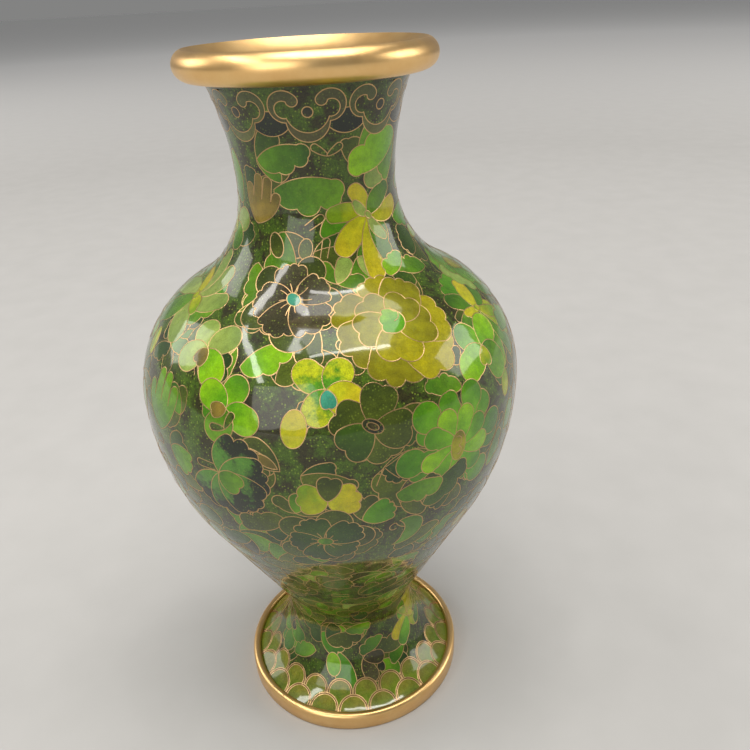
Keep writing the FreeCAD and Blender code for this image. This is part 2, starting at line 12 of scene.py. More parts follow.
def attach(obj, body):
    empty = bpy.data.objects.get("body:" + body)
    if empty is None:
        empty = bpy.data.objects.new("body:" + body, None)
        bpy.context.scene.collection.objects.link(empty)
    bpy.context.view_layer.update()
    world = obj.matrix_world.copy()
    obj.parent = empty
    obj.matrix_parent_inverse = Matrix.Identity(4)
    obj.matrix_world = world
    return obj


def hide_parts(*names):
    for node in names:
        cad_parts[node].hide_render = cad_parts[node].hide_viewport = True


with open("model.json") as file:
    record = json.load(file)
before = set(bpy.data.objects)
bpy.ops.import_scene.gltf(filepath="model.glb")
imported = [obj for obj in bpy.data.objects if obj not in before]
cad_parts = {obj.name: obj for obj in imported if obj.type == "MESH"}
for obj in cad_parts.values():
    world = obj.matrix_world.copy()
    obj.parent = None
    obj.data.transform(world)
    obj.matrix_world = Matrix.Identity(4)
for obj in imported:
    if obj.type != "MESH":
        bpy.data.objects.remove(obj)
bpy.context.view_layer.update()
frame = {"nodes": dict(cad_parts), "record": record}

MM = 0.001
FRONT = -90.0  # the azimuth, in degrees, that faces the camera
SEED = 7


# ---- the vase's outline, in millimetres, from the CAD's driving dimensions ----

HEIGHT = 254.0
FOOT_RADIUS = 45.0
FLARE_END_HEIGHT = 6.0
FLARE_ARC = 29.3
WAIST_RADIUS = 26.0
WAIST_HEIGHT = 32.0
WAIST_ARC = 32.0
TAPER = math.radians(29.0)
BELLY_RADIUS = 68.0
GIRDLE_HEIGHT = 141.5
SHOULDER_ARC = 42.0
NECK_RADIUS = 26.4
NECK_HEIGHT = 211.0
THROAT_ARC = 92.0
LIP_RADIUS = 41.5
LIP_ROLL = 4.8
CREST = math.radians(70.0)
MOUTH_DEPTH = 5.0
WALL = 3.0
WIRE_WIDTH = 0.4


def direction(start, end):
    """The unit step from one flat point towards another."""
    length = math.dist(start, end)
    return ((end[0] - start[0]) / length, (end[1] - start[1]) / length)


class Bend:
    """A circular stretch of the outline; side is 1 where it bulges outward and -1 where it curves in."""

    def __init__(self, centre_r, centre_z, radius, side, start, end):
        self.centre_r, self.centre_z = centre_r, centre_z
        self.radius, self.side = radius, side
        self.start, self.end = start, end
        self.length = radius * (end - start)

    def at(self, distance, depth=0.0):
        """Radius, height and outward normal at a distance along it, some way under the surface."""
        angle = self.start + distance / self.radius
        reach = self.radius - self.side * depth
        r = self.centre_r + self.side * reach * math.cos(angle)
        z = self.centre_z + reach * math.sin(angle)
        return r, z, math.cos(angle), self.side * math.sin(angle)


class Taper:
    """The straight stretch of the outline between the waist and the belly."""

    def __init__(self, start, end):
        self.start = start
        self.length = math.dist(start, end)
        self.along = direction(start, end)

    def at(self, distance, depth=0.0):
        """Radius, height and outward normal at a distance along it, some way under the surface."""
        out_r, out_z = self.along[1], -self.along[0]
        r = self.start[0] + self.along[0] * distance - out_r * depth
        z = self.start[1] + self.along[1] * distance - out_z * depth
        return r, z, out_r, out_z


def make_outline():
    """The tangent chain of stretches from the foot ring to the lip."""
    taper_r = WAIST_RADIUS + WAIST_ARC * (1 - math.cos(TAPER))
    taper_z = WAIST_HEIGHT + WAIST_ARC * math.sin(TAPER)
    belly_arc = (GIRDLE_HEIGHT - taper_z) * math.sin(TAPER) - (BELLY_RADIUS - taper_r) * math.cos(TAPER)
    belly_arc /= 1 - math.cos(TAPER)
    step_in = NECK_RADIUS - (BELLY_RADIUS - SHOULDER_ARC)
    rise = NECK_HEIGHT - GIRDLE_HEIGHT
    neck_arc = (rise**2 + step_in**2 - SHOULDER_ARC**2) / (2 * (SHOULDER_ARC - step_in))
    turn = math.asin(rise / (SHOULDER_ARC + neck_arc))
    lip_underside = HEIGHT - LIP_ROLL * (1 + math.sin(CREST))
    flare_end = -math.asin((WAIST_HEIGHT - FLARE_END_HEIGHT) / FLARE_ARC)
    throat_end = math.asin((lip_underside - NECK_HEIGHT) / THROAT_ARC)
    belly = Bend(BELLY_RADIUS - belly_arc, GIRDLE_HEIGHT, belly_arc, 1, -TAPER, 0.0)
    belly_foot = belly.at(0.0)
    return [
        Bend(WAIST_RADIUS + FLARE_ARC, WAIST_HEIGHT, FLARE_ARC, -1, flare_end, 0.0),
        Bend(WAIST_RADIUS + WAIST_ARC, WAIST_HEIGHT, WAIST_ARC, -1, 0.0, TAPER),
        Taper((taper_r, taper_z), belly_foot[:2]),
        belly,
        Bend(BELLY_RADIUS - SHOULDER_ARC, GIRDLE_HEIGHT, SHOULDER_ARC, 1, 0.0, turn),
        Bend(NECK_RADIUS + neck_arc, NECK_HEIGHT, neck_arc, -1, -turn, 0.0),
        Bend(NECK_RADIUS + THROAT_ARC, NECK_HEIGHT, THROAT_ARC, -1, 0.0, throat_end),
    ]


OUTLINE = make_outline()
STARTS = [sum(part.length for part in OUTLINE[:index]) for index in range(len(OUTLINE))]
WALL_LENGTH = sum(part.length for part in OUTLINE)
SEAMS = {"pedestal": 0.0, "belly": STARTS[1], "shoulder": STARTS[4], "neck": STARTS[6]}


def wall_at(along, depth=0.0):
    """Radius, height and outward normal at a distance up the outline from the foot ring."""
    along = min(max(along, 0.0), WALL_LENGTH)
    index = max(bisect.bisect_right(STARTS, along) - 1, 0)
    return OUTLINE[index].at(along - STARTS[index], depth)


# ---- the layout plane: azimuth across and, upward, the rise that keeps every shape undistorted ----

TABLE_STEP = 0.25  # millimetres of wall between two entries
NOTHING = 1e-9  # lengths below this are rounding


def make_rise_table():
    """How high each distance up the outline lies in the layout plane: each step is divided by the radius."""
    alongs, rises = [0.0], [0.0]
    while alongs[-1] < WALL_LENGTH:
        step = min(TABLE_STEP, WALL_LENGTH - alongs[-1])
        if step < NOTHING:
            break
        radius = wall_at(alongs[-1] + step / 2)[0]
        alongs.append(alongs[-1] + step)
        rises.append(rises[-1] + step / radius)
    return alongs, rises


ALONGS, RISES = make_rise_table()


def interpolate(x, xs, ys):
    """The value at x on the broken line through the points given."""
    index = min(max(bisect.bisect_right(xs, x), 1), len(xs) - 1)
    share = (x - xs[index - 1]) / (xs[index] - xs[index - 1])
    return ys[index - 1] + share * (ys[index] - ys[index - 1])


def rise_of(along):
    """The height in the layout plane of a distance up the wall."""
    return interpolate(along, ALONGS, RISES)


def along_of(rise):
    """The distance up the wall of a height in the layout plane."""
    return interpolate(rise, RISES, ALONGS)


def on_wall(point, lift=0.0):
    """The place in space, in metres, and the outward normal for a point of the layout plane."""
    around, rise = point
    r, z, out_r, out_z = wall_at(along_of(rise), -lift)
    azimuth = around + math.radians(FRONT)
    cos, sin = math.cos(azimuth), math.sin(azimuth)
    return Vector((r * cos, r * sin, z)) * MM, Vector((out_r * cos, out_r * sin, out_z))


# ---- colours ----


def ink(code):
    """Linear colour of a six-digit code."""
    parts = [int(code[i : i + 2], 16) / 255 for i in (0, 2, 4)]
    return tuple(p / 12.92 if p <= 0.04045 else ((p + 0.055) / 1.055) ** 2.4 for p in parts)


class Enamel:
    """What fills a cell: two inks, how softly and how raggedly they meet, and how grainy they are."""

    def __init__(self, base, tip, soft=0.8, ragged=0.35, grain=0.35):
        self.base, self.tip = ink(base), ink(tip)
        self.soft, self.ragged, self.grain = soft, ragged, grain


GROUND = Enamel("2c2b10", "3e5610", 0.8, 1.9, 1.15)
ENAMELS = {
    "leaf": [Enamel("507e08", "30560c"), Enamel("5a860a", "3e660e"), Enamel("406c0a", "5e8a0e")],
    "bright": [Enamel("6ea804", "447806"), Enamel("609a04", "80b006"), Enamel("508f05", "7aa806")],
    "meadow": [Enamel("488404", "346406"), Enamel("548a05", "3e7208")],
    "deep": [Enamel("38540e", "283f0c", 0.8, 0.5), Enamel("2e4c12", "20380c", 0.8, 0.5)],
    "moss": [Enamel("465210", "303c0e", 0.9, 0.6, 0.6), Enamel("4e5c12", "384610", 0.9, 0.6, 0.6)],
    "olive": [Enamel("8e8c06", "726e06", 0.8, 0.8), Enamel("868206", "968e06", 0.8, 0.8)],
    "gold": [Enamel("84702a", "62561e", 0.8, 0.5), Enamel("766626", "585020", 0.8, 0.5)],
    "lime": [Enamel("9aa206", "6c8a0c", 0.6, 0.8), Enamel("a8aa12", "b0a414", 0.7, 0.6)],
    "spring": [Enamel("b0b412", "3c7a14", 0.5, 1.1, 0.6), Enamel("4c8414", "a8b014", 0.5, 1.1, 0.6)],
    "emerald": [Enamel("4a7a26", "1c2416", 0.3, 0.8, 0.6), Enamel("56801c", "161c12", 0.26, 0.8, 0.6)],
    "dusk": [Enamel("363020", "464428", 0.9, 0.8, 0.9), Enamel("3c3620", "303018", 0.9, 0.8, 0.9)],
    "night": [Enamel("222619", "30351c", 0.9, 0.6, 0.7)],
    "teal": [Enamel("3f9478", "2f7c60", 0.8, 0.4)],
    "jade": [Enamel("889a44", "70883c", 0.9, 0.4), Enamel("92a44c", "7c9640", 0.9, 0.4)],
    "ground": [GROUND],
}
# On the far half of the vase the same garden comes again, and these enamels change places.
FAR_ENAMELS = dict(olive="jade", dusk="deep", bright="leaf", leaf="meadow", meadow="bright", jade="olive")
RUYI_BAND = [Enamel("4f4c2c", "454828", 1.0, 0.9, 0.5), Enamel("585c2e", "474e28", 1.0, 0.9, 0.5)]
RUYI_EYE = Enamel("2a2c1c", "1f2418", 1.0, 0.5, 0.5)
PENDANT = Enamel("20281c", "161c14", 1.0, 0.5, 0.4)
# a brown band painted inside each scale's wire: painted shade along the wire under the thick glaze
SCALE_WIRE_SHADE = Enamel("5a4824", "66522a", 0.9, 0.3, 0.4)
SCALES = [Enamel("566c14", "7c7624", 0.8, 0.6, 0.5), Enamel("607614", "6c6a24", 0.8, 0.6, 0.5)]


# ---- flat shapes, in millimetres: lists of (x, y) points, anticlockwise when closed ----

STEP = 0.55  # between the points of a curve
STRAIGHT = 0.02  # arcs that sweep less than this, in radians, are drawn straight


def bowed(start, end, bow):
    """Points from start towards end on an arc that stands out to the right; a bow of 1 is a half circle."""
    chord = math.dist(start, end)
    sweep = 4 * math.atan(bow)
    if abs(sweep) < STRAIGHT or chord < 1e-6:
        count = max(1, math.ceil(chord / STEP))
        across, up = end[0] - start[0], end[1] - start[1]
        return [(start[0] + across * i / count, start[1] + up * i / count) for i in range(count)]
    radius = chord / (2 * math.sin(sweep / 2))
    count = max(3, math.ceil(abs(radius * sweep) / STEP))
    along = direction(start, end)
    middle = ((start[0] + end[0]) / 2, (start[1] + end[1]) / 2)
    drop = radius * math.cos(sweep / 2)
    points = []
    for i in range(count):
        angle = -sweep / 2 + sweep * i / count
        out = radius * math.cos(angle) - drop
        aside = radius * math.sin(angle)
        x = middle[0] + along[1] * out + along[0] * aside
        y = middle[1] - along[0] * out + along[1] * aside
        points.append((x, y))
    return points


def closed(knots):
    """A closed outline through (x, y, bow) knots, where each bow belongs to the arc that leaves its knot."""
    points = []
    for index, (x, y, bow) in enumerate(knots):
        after = knots[(index + 1) % len(knots)]
        points += bowed((x, y), after[:2], bow)
    return points


def opened(knots):
    """A wire that ends at its last knot."""
    points = []
    for (x, y, bow), after in zip(knots, knots[1:]):
        points += bowed((x, y), after[:2], bow)
    return points + [tuple(knots[-1][:2])]


def turned(points, degrees=0.0, shift=(0.0, 0.0), size=1.0):
    """The points scaled and turned about the origin, then shifted."""
    cos, sin = size * math.cos(math.radians(degrees)), size * math.sin(math.radians(degrees))
    return [(x * cos - y * sin + shift[0], x * sin + y * cos + shift[1]) for x, y in points]


def curved_petal(length, width, lean):
    """A petal that leans over to its left as it rises, for lean from 0 to 1."""
    tip = (-length * 0.35 * lean, length)
    knots = [
        (0.3, 0.0, 0.28 + 0.18 * lean),
        (tip[0] + width * 0.32, tip[1] - width * 0.25, 0.75),
        (tip[0] - width * 0.32, tip[1] - width * 0.35, 0.3 - 0.42 * lean),
        (-0.3, 0.0, 0.0),
    ]
    return closed(knots)


def oval(length, width, turn=0.0):
    """An oval centred on the origin."""
    count = max(12, math.ceil(math.pi * (length + width) / 2 / STEP))
    angles = [2 * math.pi * i / count for i in range(count)]
    return turned([(width / 2 * math.cos(a), length / 2 * math.sin(a)) for a in angles], turn)


# ---- motifs: each paints cells and wires, in order, about its own centre ----


class Mark:
    """A cell, or without an enamel a bare wire, in the flat.

    Its colour runs from base to tip. The pieces it belongs to are named only in the collar and the scales.
    """

    def __init__(self, points, enamel=None, base=(0.0, 0.0), tip=(0.0, 1.0), wire=None, cell=None):
        self.points, self.enamel = points, enamel
        self.base, self.tip = base, tip
        self.wire_piece, self.cell_piece = wire, cell


def spread(count, start=0.0):
    """Turns spaced evenly round a full circle."""
    return [start + 360 * index / count for index in range(count)]


class Brush:
    """Picks enamels and draws each shape a little differently, but always in the same order."""

    def __init__(self, seed):
        self.random = random.Random(seed)

    def about(self, value, share=0.08):
        """The value, more or less."""
        return value * (1 + self.random.uniform(-share, share))

    def swing(self, degrees):
        """A small turn to one side or the other."""
        return self.random.uniform(-degrees, degrees)

    def cell(self, points, name, base=(0.0, 0.0)):
        """A cell whose tip colour lies where it reaches furthest from the motif's centre."""
        tip = max(points, key=lambda point: math.hypot(*point))
        return Mark(points, self.random.choice(ENAMELS[name]), base, tip)

    def wire(self, knots, turn=0.0, sway=0.0):
        """A bare wire through (x, y, bow) knots."""
        return Mark(turned(opened(knots), turn + self.swing(sway)))

    def petal(self, length, width, lobes=1, side=0.28, shoulder=0.62):
        """A petal standing on its base at the origin, its tip cut into lobes that meet in cusps."""
        foot, lobe_bow = 0.35, 0.62
        length, width = self.about(length), self.about(width)
        lean = self.swing(0.06) * length
        start = (width / 2 + lean, length * shoulder * self.about(1.0))
        end = (-width / 2 + lean, length * shoulder * self.about(1.0))
        round_tip = (1 - shoulder) * length / (width / 2)
        knots = [(foot, 0.0, self.about(side, 0.3))]
        knots.append((*start, round_tip if lobes == 1 else self.about(lobe_bow, 0.2)))
        for index in range(1, lobes):
            angle = math.pi * (index + self.swing(0.16)) / lobes
            depth = self.about(0.74, 0.08)
            x = lean + width / 2 * depth * math.cos(angle)
            y = length * (shoulder + (1 - shoulder) * depth * math.sin(angle) - 0.07)
            knots.append((x, y, self.about(lobe_bow, 0.2)))
        knots += [(*end, self.about(side, 0.3)), (-foot, 0.0, 0.0)]
        return closed(knots)

    def petals(self, turns, sway, names, *shape):
        """A petal of that shape at each turn, each over the one before, in the enamels in rotation."""
        marks = []
        for index, turn in enumerate(turns):
            turn += self.swing(sway)
            marks.append(self.cell(turned(self.petal(*shape), turn), names[index % len(names)]))
        return marks

    def leaf(self, name, length, width, scallops=3, turn=0.0):
        """A leaf lying along +X from its stalk at the origin: smooth above and scalloped below."""
        length, width = self.about(length), self.about(width)
        knots = [(0.0, 0.0, self.about(0.5, 0.2))]
        for index in range(1, scallops):
            share = index / scallops + self.swing(0.07)
            dip = width * 0.38 * math.sin(math.pi * min(share * 1.05 + 0.06, 1.0)) ** 0.8
            knots.append((length * (0.04 + 0.92 * share), -dip, self.about(0.66, 0.15)))
        knots.append((length * 0.95, -width * 0.05, self.about(0.8, 0.15)))
        knots.append((length * 0.8, width * 0.32, 0.25))
        return self.cell(turned(closed(knots), turn), name)


def blossom(brush, main, back, heart):
    """Lobed petals round a small heart with short stamens, and plain round petals showing behind."""
    marks = brush.petals(spread(5, 36), 9, (back,), 16.5, 10.5)
    marks += brush.petals(spread(5), 8, (main,), 14.0, 12.0, 4)
    for turn in spread(10, 9):
        marks.append(brush.wire([(0.0, 2.0, 0.1), (0.0, brush.about(5.0, 0.2), 0.0)], turn, 6))
    return marks + [brush.cell(oval(5.0, brush.about(4.2, 0.1), brush.swing(60)), heart)]


def clover(brush, main, back, heart):
    """A small dark flower of two-lobed petals round an oval heart."""
    marks = brush.petals((60, -165, 130), 5, (main, main, back), 12.5, 11.0, 2)
    marks += brush.petals((-15, -105), 5, (main,), 14.5, 11.0, 2)
    return marks + [brush.cell(oval(6.4, 3.8, 60), heart), brush.cell(oval(3.6, 1.9, 60), "dusk")]


def peony(brush, main, back, heart):
    """Rings of overlapping lobed petals round an off-centre heart."""
    marks = brush.petals(spread(7), 8, (main, back, main), 22.0, 15.5, 3)
    marks += brush.petals(spread(5, 20), 9, (main,), 14.0, 12.5, 2, 0.34)
    middle = turned(brush.petal(9.5, 9.0, 3, 0.4), 80 + brush.swing(30), (3.4, -1.0))
    marks.append(brush.cell(middle, heart))
    marks.append(brush.wire([(0.0, 0.0, 0.4), (2.4, 3.6, -0.6), (0.8, 5.6, 0.0)], 0.0, 40))
    return marks


def chrysanthemum(brush, main, back, heart):
    """Two rings of long narrow petals round an oval heart with a curl of wire in it."""
    marks = brush.petals(spread(7), 4, (main, main, back), 22.5, 7.6, 2, 0.16)
    marks += brush.petals(spread(6, 30), 4, (main, back, main), 21.5, 7.4, 1, 0.16)
    marks += brush.petals(spread(9, 14), 5, (main,), 14.0, 6.6, 1, 0.18)
    marks.append(brush.cell(oval(10.5, 6.0, -8), heart))
    marks.append(brush.wire([(-0.8, 3.4, -0.8), (0.9, 0.4, 0.35), (0.2, -0.4, -0.9), (-0.6, -3.2, 0.0)]))
    return marks


def lily(brush, main, back, heart):
    """Long petals that curve out of one point, and two short ones over them."""
    marks = []
    for turn, length, width, lean, name in (
        (72, 15.0, 9.0, 0.6, main),
        (128, 17.0, 9.0, 0.3, main),
        (182, 20.0, 9.0, -0.5, main),
        (216, 16.0, 9.0, -0.8, back),
        (262, 15.0, 9.0, 0.6, main),
        (14, 13.0, 9.0, 0.4, main),
        (318, 14.0, 9.0, -0.4, back),
        (200, 10.5, 4.8, 0.5, heart),
        (60, 8.0, 3.6, -0.4, heart),
    ):
        points = curved_petal(brush.about(length), brush.about(width), lean)
        marks.append(brush.cell(turned(points, turn + brush.swing(6)), name))
    return marks + [brush.cell(oval(3.0, 2.2, 40), heart)]


def leaf_pair(brush, main, back):
    """A broad leaf, scalloped along one side, with a smaller one tucked behind."""
    return [brush.leaf(back, 12.0, 9.0, 2, 42 + brush.swing(10)), brush.leaf(main, 18.0, 11.0)]


def single_leaf(brush, main):
    """One leaf."""
    return [brush.leaf(main, 15.5, 9.5)]


def round_leaves(brush, main, back, heart):
    """Round leaves overlapping about one point."""
    marks = brush.petals((10, -80, 100, -165), 12, (main, main, main, back), 12.6, 9.9, 1, 0.34, 0.58)
    return marks + brush.petals((140,), 5, (heart,), 6.5, 5.2, 2)


def fan(brush, main, heart):
    """Broad petals with ragged dark tips, fanned out over each other."""
    marks = brush.petals((84, -80, 42, -40, 0), 6, (main,), 16.5, 13.5, 4, 0.36, 0.56)
    return marks + brush.petals((8,), 3, (heart,), 7.5, 7.5, 2, 0.34)


def fingers(brush, main):
    """A leaf whose end is split into long fingers, the outer ones shorter."""
    count, width, length, depth = 4, 3.7, 17.0, 9.0
    knots = [(0.4, 0.0, 0.3)]
    for index in range(count):
        right = (2 - index) * width
        left = right - width + 0.45
        top = brush.about(length) - abs(index - 1.5) * 2.6 - width / 2
        last = index == count - 1
        knots += [(right, top, 0.95), (left, top, 0.3 if last else 0.0)]
        if not last:
            knots.append((left - 0.22, length - depth, 0.0))
    knots.append((-0.4, 0.0, 0.0))
    return [brush.cell(closed(knots), main)]


def bud(brush, main, back):
    """A pointed bud leaf with a lighter fold inside it."""
    outer = closed([(0.0, 0.0, 0.3), (14.5, -1.0, 0.3), (5.0, 6.2, 0.42)])
    inner = closed([(5.0, 0.6, 0.35), (13.6, -0.6, 0.42)])
    fold = brush.wire([(0.4, 0.8, -0.22), (12.6, 0.4, 0.0)])
    return [brush.cell(outer, back), fold, brush.cell(inner, main, (5.0, 0.6))]


def bow(brush, main, back):
    """A pair of lobed wings side by side."""
    marks = brush.petals((95, -85), 6, (main,), 10.5, 10.5, 3, 0.4, 0.55)
    return marks + brush.petals((-8,), 8, (back,), 9.0, 7.0, 2)


def crescent(brush, main):
    """A plump new moon."""
    points = closed([(0.0, 0.0, 0.62), (9.0, 9.5, 0.4), (2.2, 11.5, -0.35), (3.0, 5.0, -0.2)])
    return [brush.cell(turned(points, brush.swing(10)), main)]


def egg(brush, main):
    """A plain oval."""
    return [brush.cell(oval(brush.about(10.0), brush.about(6.2)), main, (0.0, -5.0))]


def drops(brush):
    """A pair of small wire drops, point to point."""
    return brush.petals((58, -62), 8, ("ground",), 6.8, 2.7, 1, 0.1, 0.74)


def hairpin(brush):
    """One wire bent back on itself."""
    return [brush.wire([(-1.3, -4.0, 0.0), (-1.5, 2.4, -1.0), (1.5, 2.4, 0.0), (1.2, -3.6, 0.0)], 0.0, 12)]


def spark(brush):
    """Short wires spreading from one point."""
    return [brush.wire([(0.3, 0.0, 0.05), (6.8, 0.0, 0.0)], turn, 6) for turn in (25, -48, -112)]


def tendril(brush):
    """A bare wire that wanders off and curls back at its end."""
    knots = [(-7.0, -2.0, 0.25), (0.0, 0.0, -0.28), (6.5, 1.5, 0.55), (6.0, 5.0, 0.7), (4.0, 3.2, 0.0)]
    return [brush.wire(knots, 0.0, 20)]


def sprig(brush, main, back):
    """Three small leaves from one point."""
    return brush.petals((62, -58, 0), 8, (main, main, back), 11.0, 6.0, 1, 0.24)


def frill(brush, main, back):
    """Two lobed petals, one over the other."""
    return brush.petals((48,), 10, (back,), 12.0, 12.0, 3) + brush.petals((0,), 0, (main,), 13.5, 11.5, 4)


# The garden on one half of the vase: each motif with its azimuth from the middle of that half, its
# distance up the wall, its turn, its size and its enamels.
GARDEN = [
    # neck
    (leaf_pair, -40, 248, 4, 1.0, "leaf deep"),
    (drops, 8, 249, 0, 0.9, ""),
    (leaf_pair, 66, 251, 196, 1.25, "bright leaf"),
    (single_leaf, -30, 239, -6, 1.45, "leaf"),
    (fingers, -46, 228, -14, 1.0, "gold"),
    (single_leaf, -66, 250, 262, 1.1, "leaf"),
    (round_leaves, -74, 226, 10, 0.74, "jade leaf lime"),
    (hairpin, -3, 229, -50, 0.8, ""),
    (hairpin, 2, 221, -22, 0.8, ""),
    (lily, 34, 229, 0, 0.92, "lime leaf jade"),
    (single_leaf, 70, 236, 12, 1.2, "leaf"),
    (sprig, 88, 216, 10, 0.8, "jade leaf"),
    # shoulder
    (egg, -29, 222, 20, 0.75, "moss"),
    (egg, -10, 221, -10, 0.7, "moss"),
    (lily, -72, 197, 190, 1.25, "jade leaf lime"),
    (single_leaf, 62, 206, 155, 0.95, "leaf"),
    (single_leaf, 50, 214, 200, 0.75, "bright"),
    (lily, 62, 184, 30, 1.1, "leaf lime lime"),
    (round_leaves, -42, 184, 20, 1.0, "jade bright gold"),
    (single_leaf, -28, 181, 24, 1.2, "bright"),
    (blossom, -15, 205, 12, 1.0, "dusk moss teal"),
    (peony, 24, 193, 10, 1.0, "olive olive bright"),
    (peony, 88, 198, 60, 0.9, "leaf jade olive"),
    # girdle
    (egg, -74, 176, 15, 1.0, "lime"),
    (round_leaves, -30, 168, -30, 0.95, "bright leaf gold"),
    (round_leaves, -2, 175, 40, 0.95, "spring lime teal"),
    (egg, -11, 164, -8, 1.15, "lime"),
    (fingers, -57, 152, -4, 1.3, "leaf"),
    (egg, 57, 158, -12, 1.0, "lime"),
    (leaf_pair, 82, 172, 170, 1.0, "leaf deep"),
    (clover, 9, 163, 0, 1.1, "moss deep night"),
    (round_leaves, 51, 174, 24, 1.05, "bright leaf lime"),
    (chrysanthemum, 33, 148, 4, 1.04, "bright meadow olive"),
    (drops, -30, 162, 30, 0.9, ""),
    (bud, -26, 157, -24, 1.0, "gold moss"),
    (fan, -33, 146, -130, 1.25, "emerald leaf"),
    (leaf_pair, -10, 149, -22, 0.95, "moss deep"),
    (spark, 11, 149, 0, 1.0, ""),
    (clover, 74, 148, 40, 1.2, "moss deep olive"),
    # belly
    (leaf_pair, -16, 130, 196, 1.0, "moss deep"),
    (leaf_pair, -24, 104, 30, 1.0, "moss leaf"),
    (round_leaves, -48, 116, 40, 0.95, "deep moss olive"),
    (leaf_pair, 22, 130, 30, 1.0, "deep moss"),
    (frill, -8, 106, 0, 1.0, "leaf deep"),
    (leaf_pair, 30, 116, 200, 1.0, "moss leaf"),
    (single_leaf, 14, 138, -8, 1.1, "leaf"),
    (bow, -4, 139, -6, 1.1, "lime moss"),
    (fan, -72, 128, 10, 1.1, "emerald jade"),
    (blossom, -6, 120, 20, 1.0, "deep moss leaf"),
    (leaf_pair, -30, 116, 200, 1.0, "deep night"),
    (crescent, 14, 112, 10, 1.1, "leaf"),
    (round_leaves, 66, 120, 0, 1.0, "leaf moss olive"),
    (peony, 44, 106, 20, 0.9, "deep leaf olive"),
    (lily, -52, 98, 200, 1.0, "leaf moss jade"),
    (leaf_pair, -14, 96, 160, 1.0, "moss deep"),
    (fan, 14, 88, 180, 0.9, "emerald leaf"),
    (leaf_pair, 82, 98, 30, 1.0, "leaf deep"),
    (round_leaves, -84, 104, 0, 0.95, "leaf jade gold"),
    (blossom, -34, 76, 0, 0.85, "moss deep teal"),
    (single_leaf, 38, 80, 200, 0.95, "leaf"),
    (blossom, 62, 76, 0, 0.85, "jade leaf olive"),
    (leaf_pair, 4, 70, 20, 0.85, "deep moss"),
    (leaf_pair, -70, 74, 20, 0.85, "leaf moss"),
    (sprig, 28, 62, 170, 0.9, "leaf jade"),
    (sprig, -20, 60, 180, 0.9, "moss leaf"),
    # waist and pedestal
    (leaf_pair, -26, 28, 12, 0.85, "moss deep"),
    (round_leaves, 20, 17, 24, 0.7, "moss leaf night"),
    (leaf_pair, -56, 18, 190, 0.8, "leaf moss"),
    (leaf_pair, 46, 19, 160, 0.8, "moss leaf"),
    (frill, 74, 40, 10, 0.8, "moss deep"),
    (frill, -64, 40, -10, 0.8, "leaf deep"),
    (single_leaf, -50, 56, 60, 0.8, "leaf"),
    (single_leaf, 60, 54, 110, 0.8, "deep"),
    (round_leaves, 4, 48, 0, 0.7, "moss deep night"),
    (round_leaves, -84, 50, 30, 0.7, "leaf moss night"),
    (sprig, 38, 44, 10, 0.8, "leaf moss"),
    (sprig, -42, 38, 0, 0.8, "moss leaf"),
    (single_leaf, -8, 34, 8, 0.75, "leaf"),
    (lily, 60, 27, 190, 0.85, "lime bright lime"),
    (round_leaves, -72, 22, 180, 0.8, "leaf moss night"),
    (egg, -19, 18, 10, 1.0, "bright"),
    (sprig, 6, 20, 262, 0.85, "dusk dusk"),
    (single_leaf, -36, 21, 200, 0.85, "leaf"),
    (single_leaf, 26, 27, 200, 0.8, "leaf"),
    (single_leaf, 86, 20, 180, 0.6, "leaf"),
]

# What is strewn over the ground before the garden is painted over it: a motif and its enamels.
UNDERGROWTH = [
    (single_leaf, "deep"),
    (single_leaf, "moss"),
    (single_leaf, "leaf"),
    (single_leaf, "meadow"),
    (leaf_pair, "moss deep"),
    (leaf_pair, "deep leaf"),
    (leaf_pair, "leaf moss"),
    (frill, "moss dusk"),
    (frill, "deep moss"),
    (frill, "leaf deep"),
    (frill, "meadow moss"),
    (sprig, "moss leaf"),
    (sprig, "leaf jade"),
    (tendril, ""),
    (hairpin, ""),
]
UNDERGROWTH_GAP = 10.8  # least distance between two of its motifs, in millimetres
UNDERGROWTH_REACH = (18.0, 243.0)  # how far it runs, up the wall
UNDERGROWTH_TRIES = 4000


def strew(brush):
    """Places for the undergrowth, as (azimuth, along), spread evenly over the wall."""
    spots = []
    for _ in range(UNDERGROWTH_TRIES):
        along = brush.random.uniform(*UNDERGROWTH_REACH)
        around = brush.random.uniform(-180.0, 180.0)
        radius = wall_at(along)[0]
        if brush.random.uniform(0.0, BELLY_RADIUS) > radius:
            continue
        per_degree = math.radians(radius)
        gaps = [math.hypot(near_turn(around - a) * per_degree, along - b) for a, b in spots]
        if min(gaps, default=math.inf) > UNDERGROWTH_GAP:
            spots.append((around, along))
    return spots


# ---- the collar under the lip and the scales above the foot ring ----

RUYI_COUNT = 8
RUYI_TURN = -2.0
RUYI_EYE_HEIGHT = 236.9
# circles, as (x, y, radius) about a ruyi head's eye, that its band runs round
RUYI_LOBE = (6.6, 1.7, 4.7)
RUYI_HOLLOW = (6.9, 0.9, 2.6)
CHIN_UNDER = (0.0, -2.7, 6.6)
CHIN_OVER = (0.0, 0.3, 6.6)
BULB_RADIUS = 1.7
BULB_TURN = math.radians(145)  # where round the lobe the band's bulbous end lies
SCOOP_REACH = 7.88
SCOOP_HEIGHT = 0.5
SCOOP_BOW = 0.98
NO_WIRE = "no wire"  # for cells whose own edge shows none

SCALE_COUNT = 21
SCALE_TURN = -4.0
SCALE_LEG = 10.0
# width of the band of painted shade inside each scale's wire, in millimetres
SCALE_WIRE_SHADE_WIDTH = 0.75
# each row's name, distance up the wall, arch radius and shift round the vase, in scales
SCALE_ROWS = (("upper", 7.6, 5.12, 0.5), ("lower", 1.0, 5.95, 0.0))


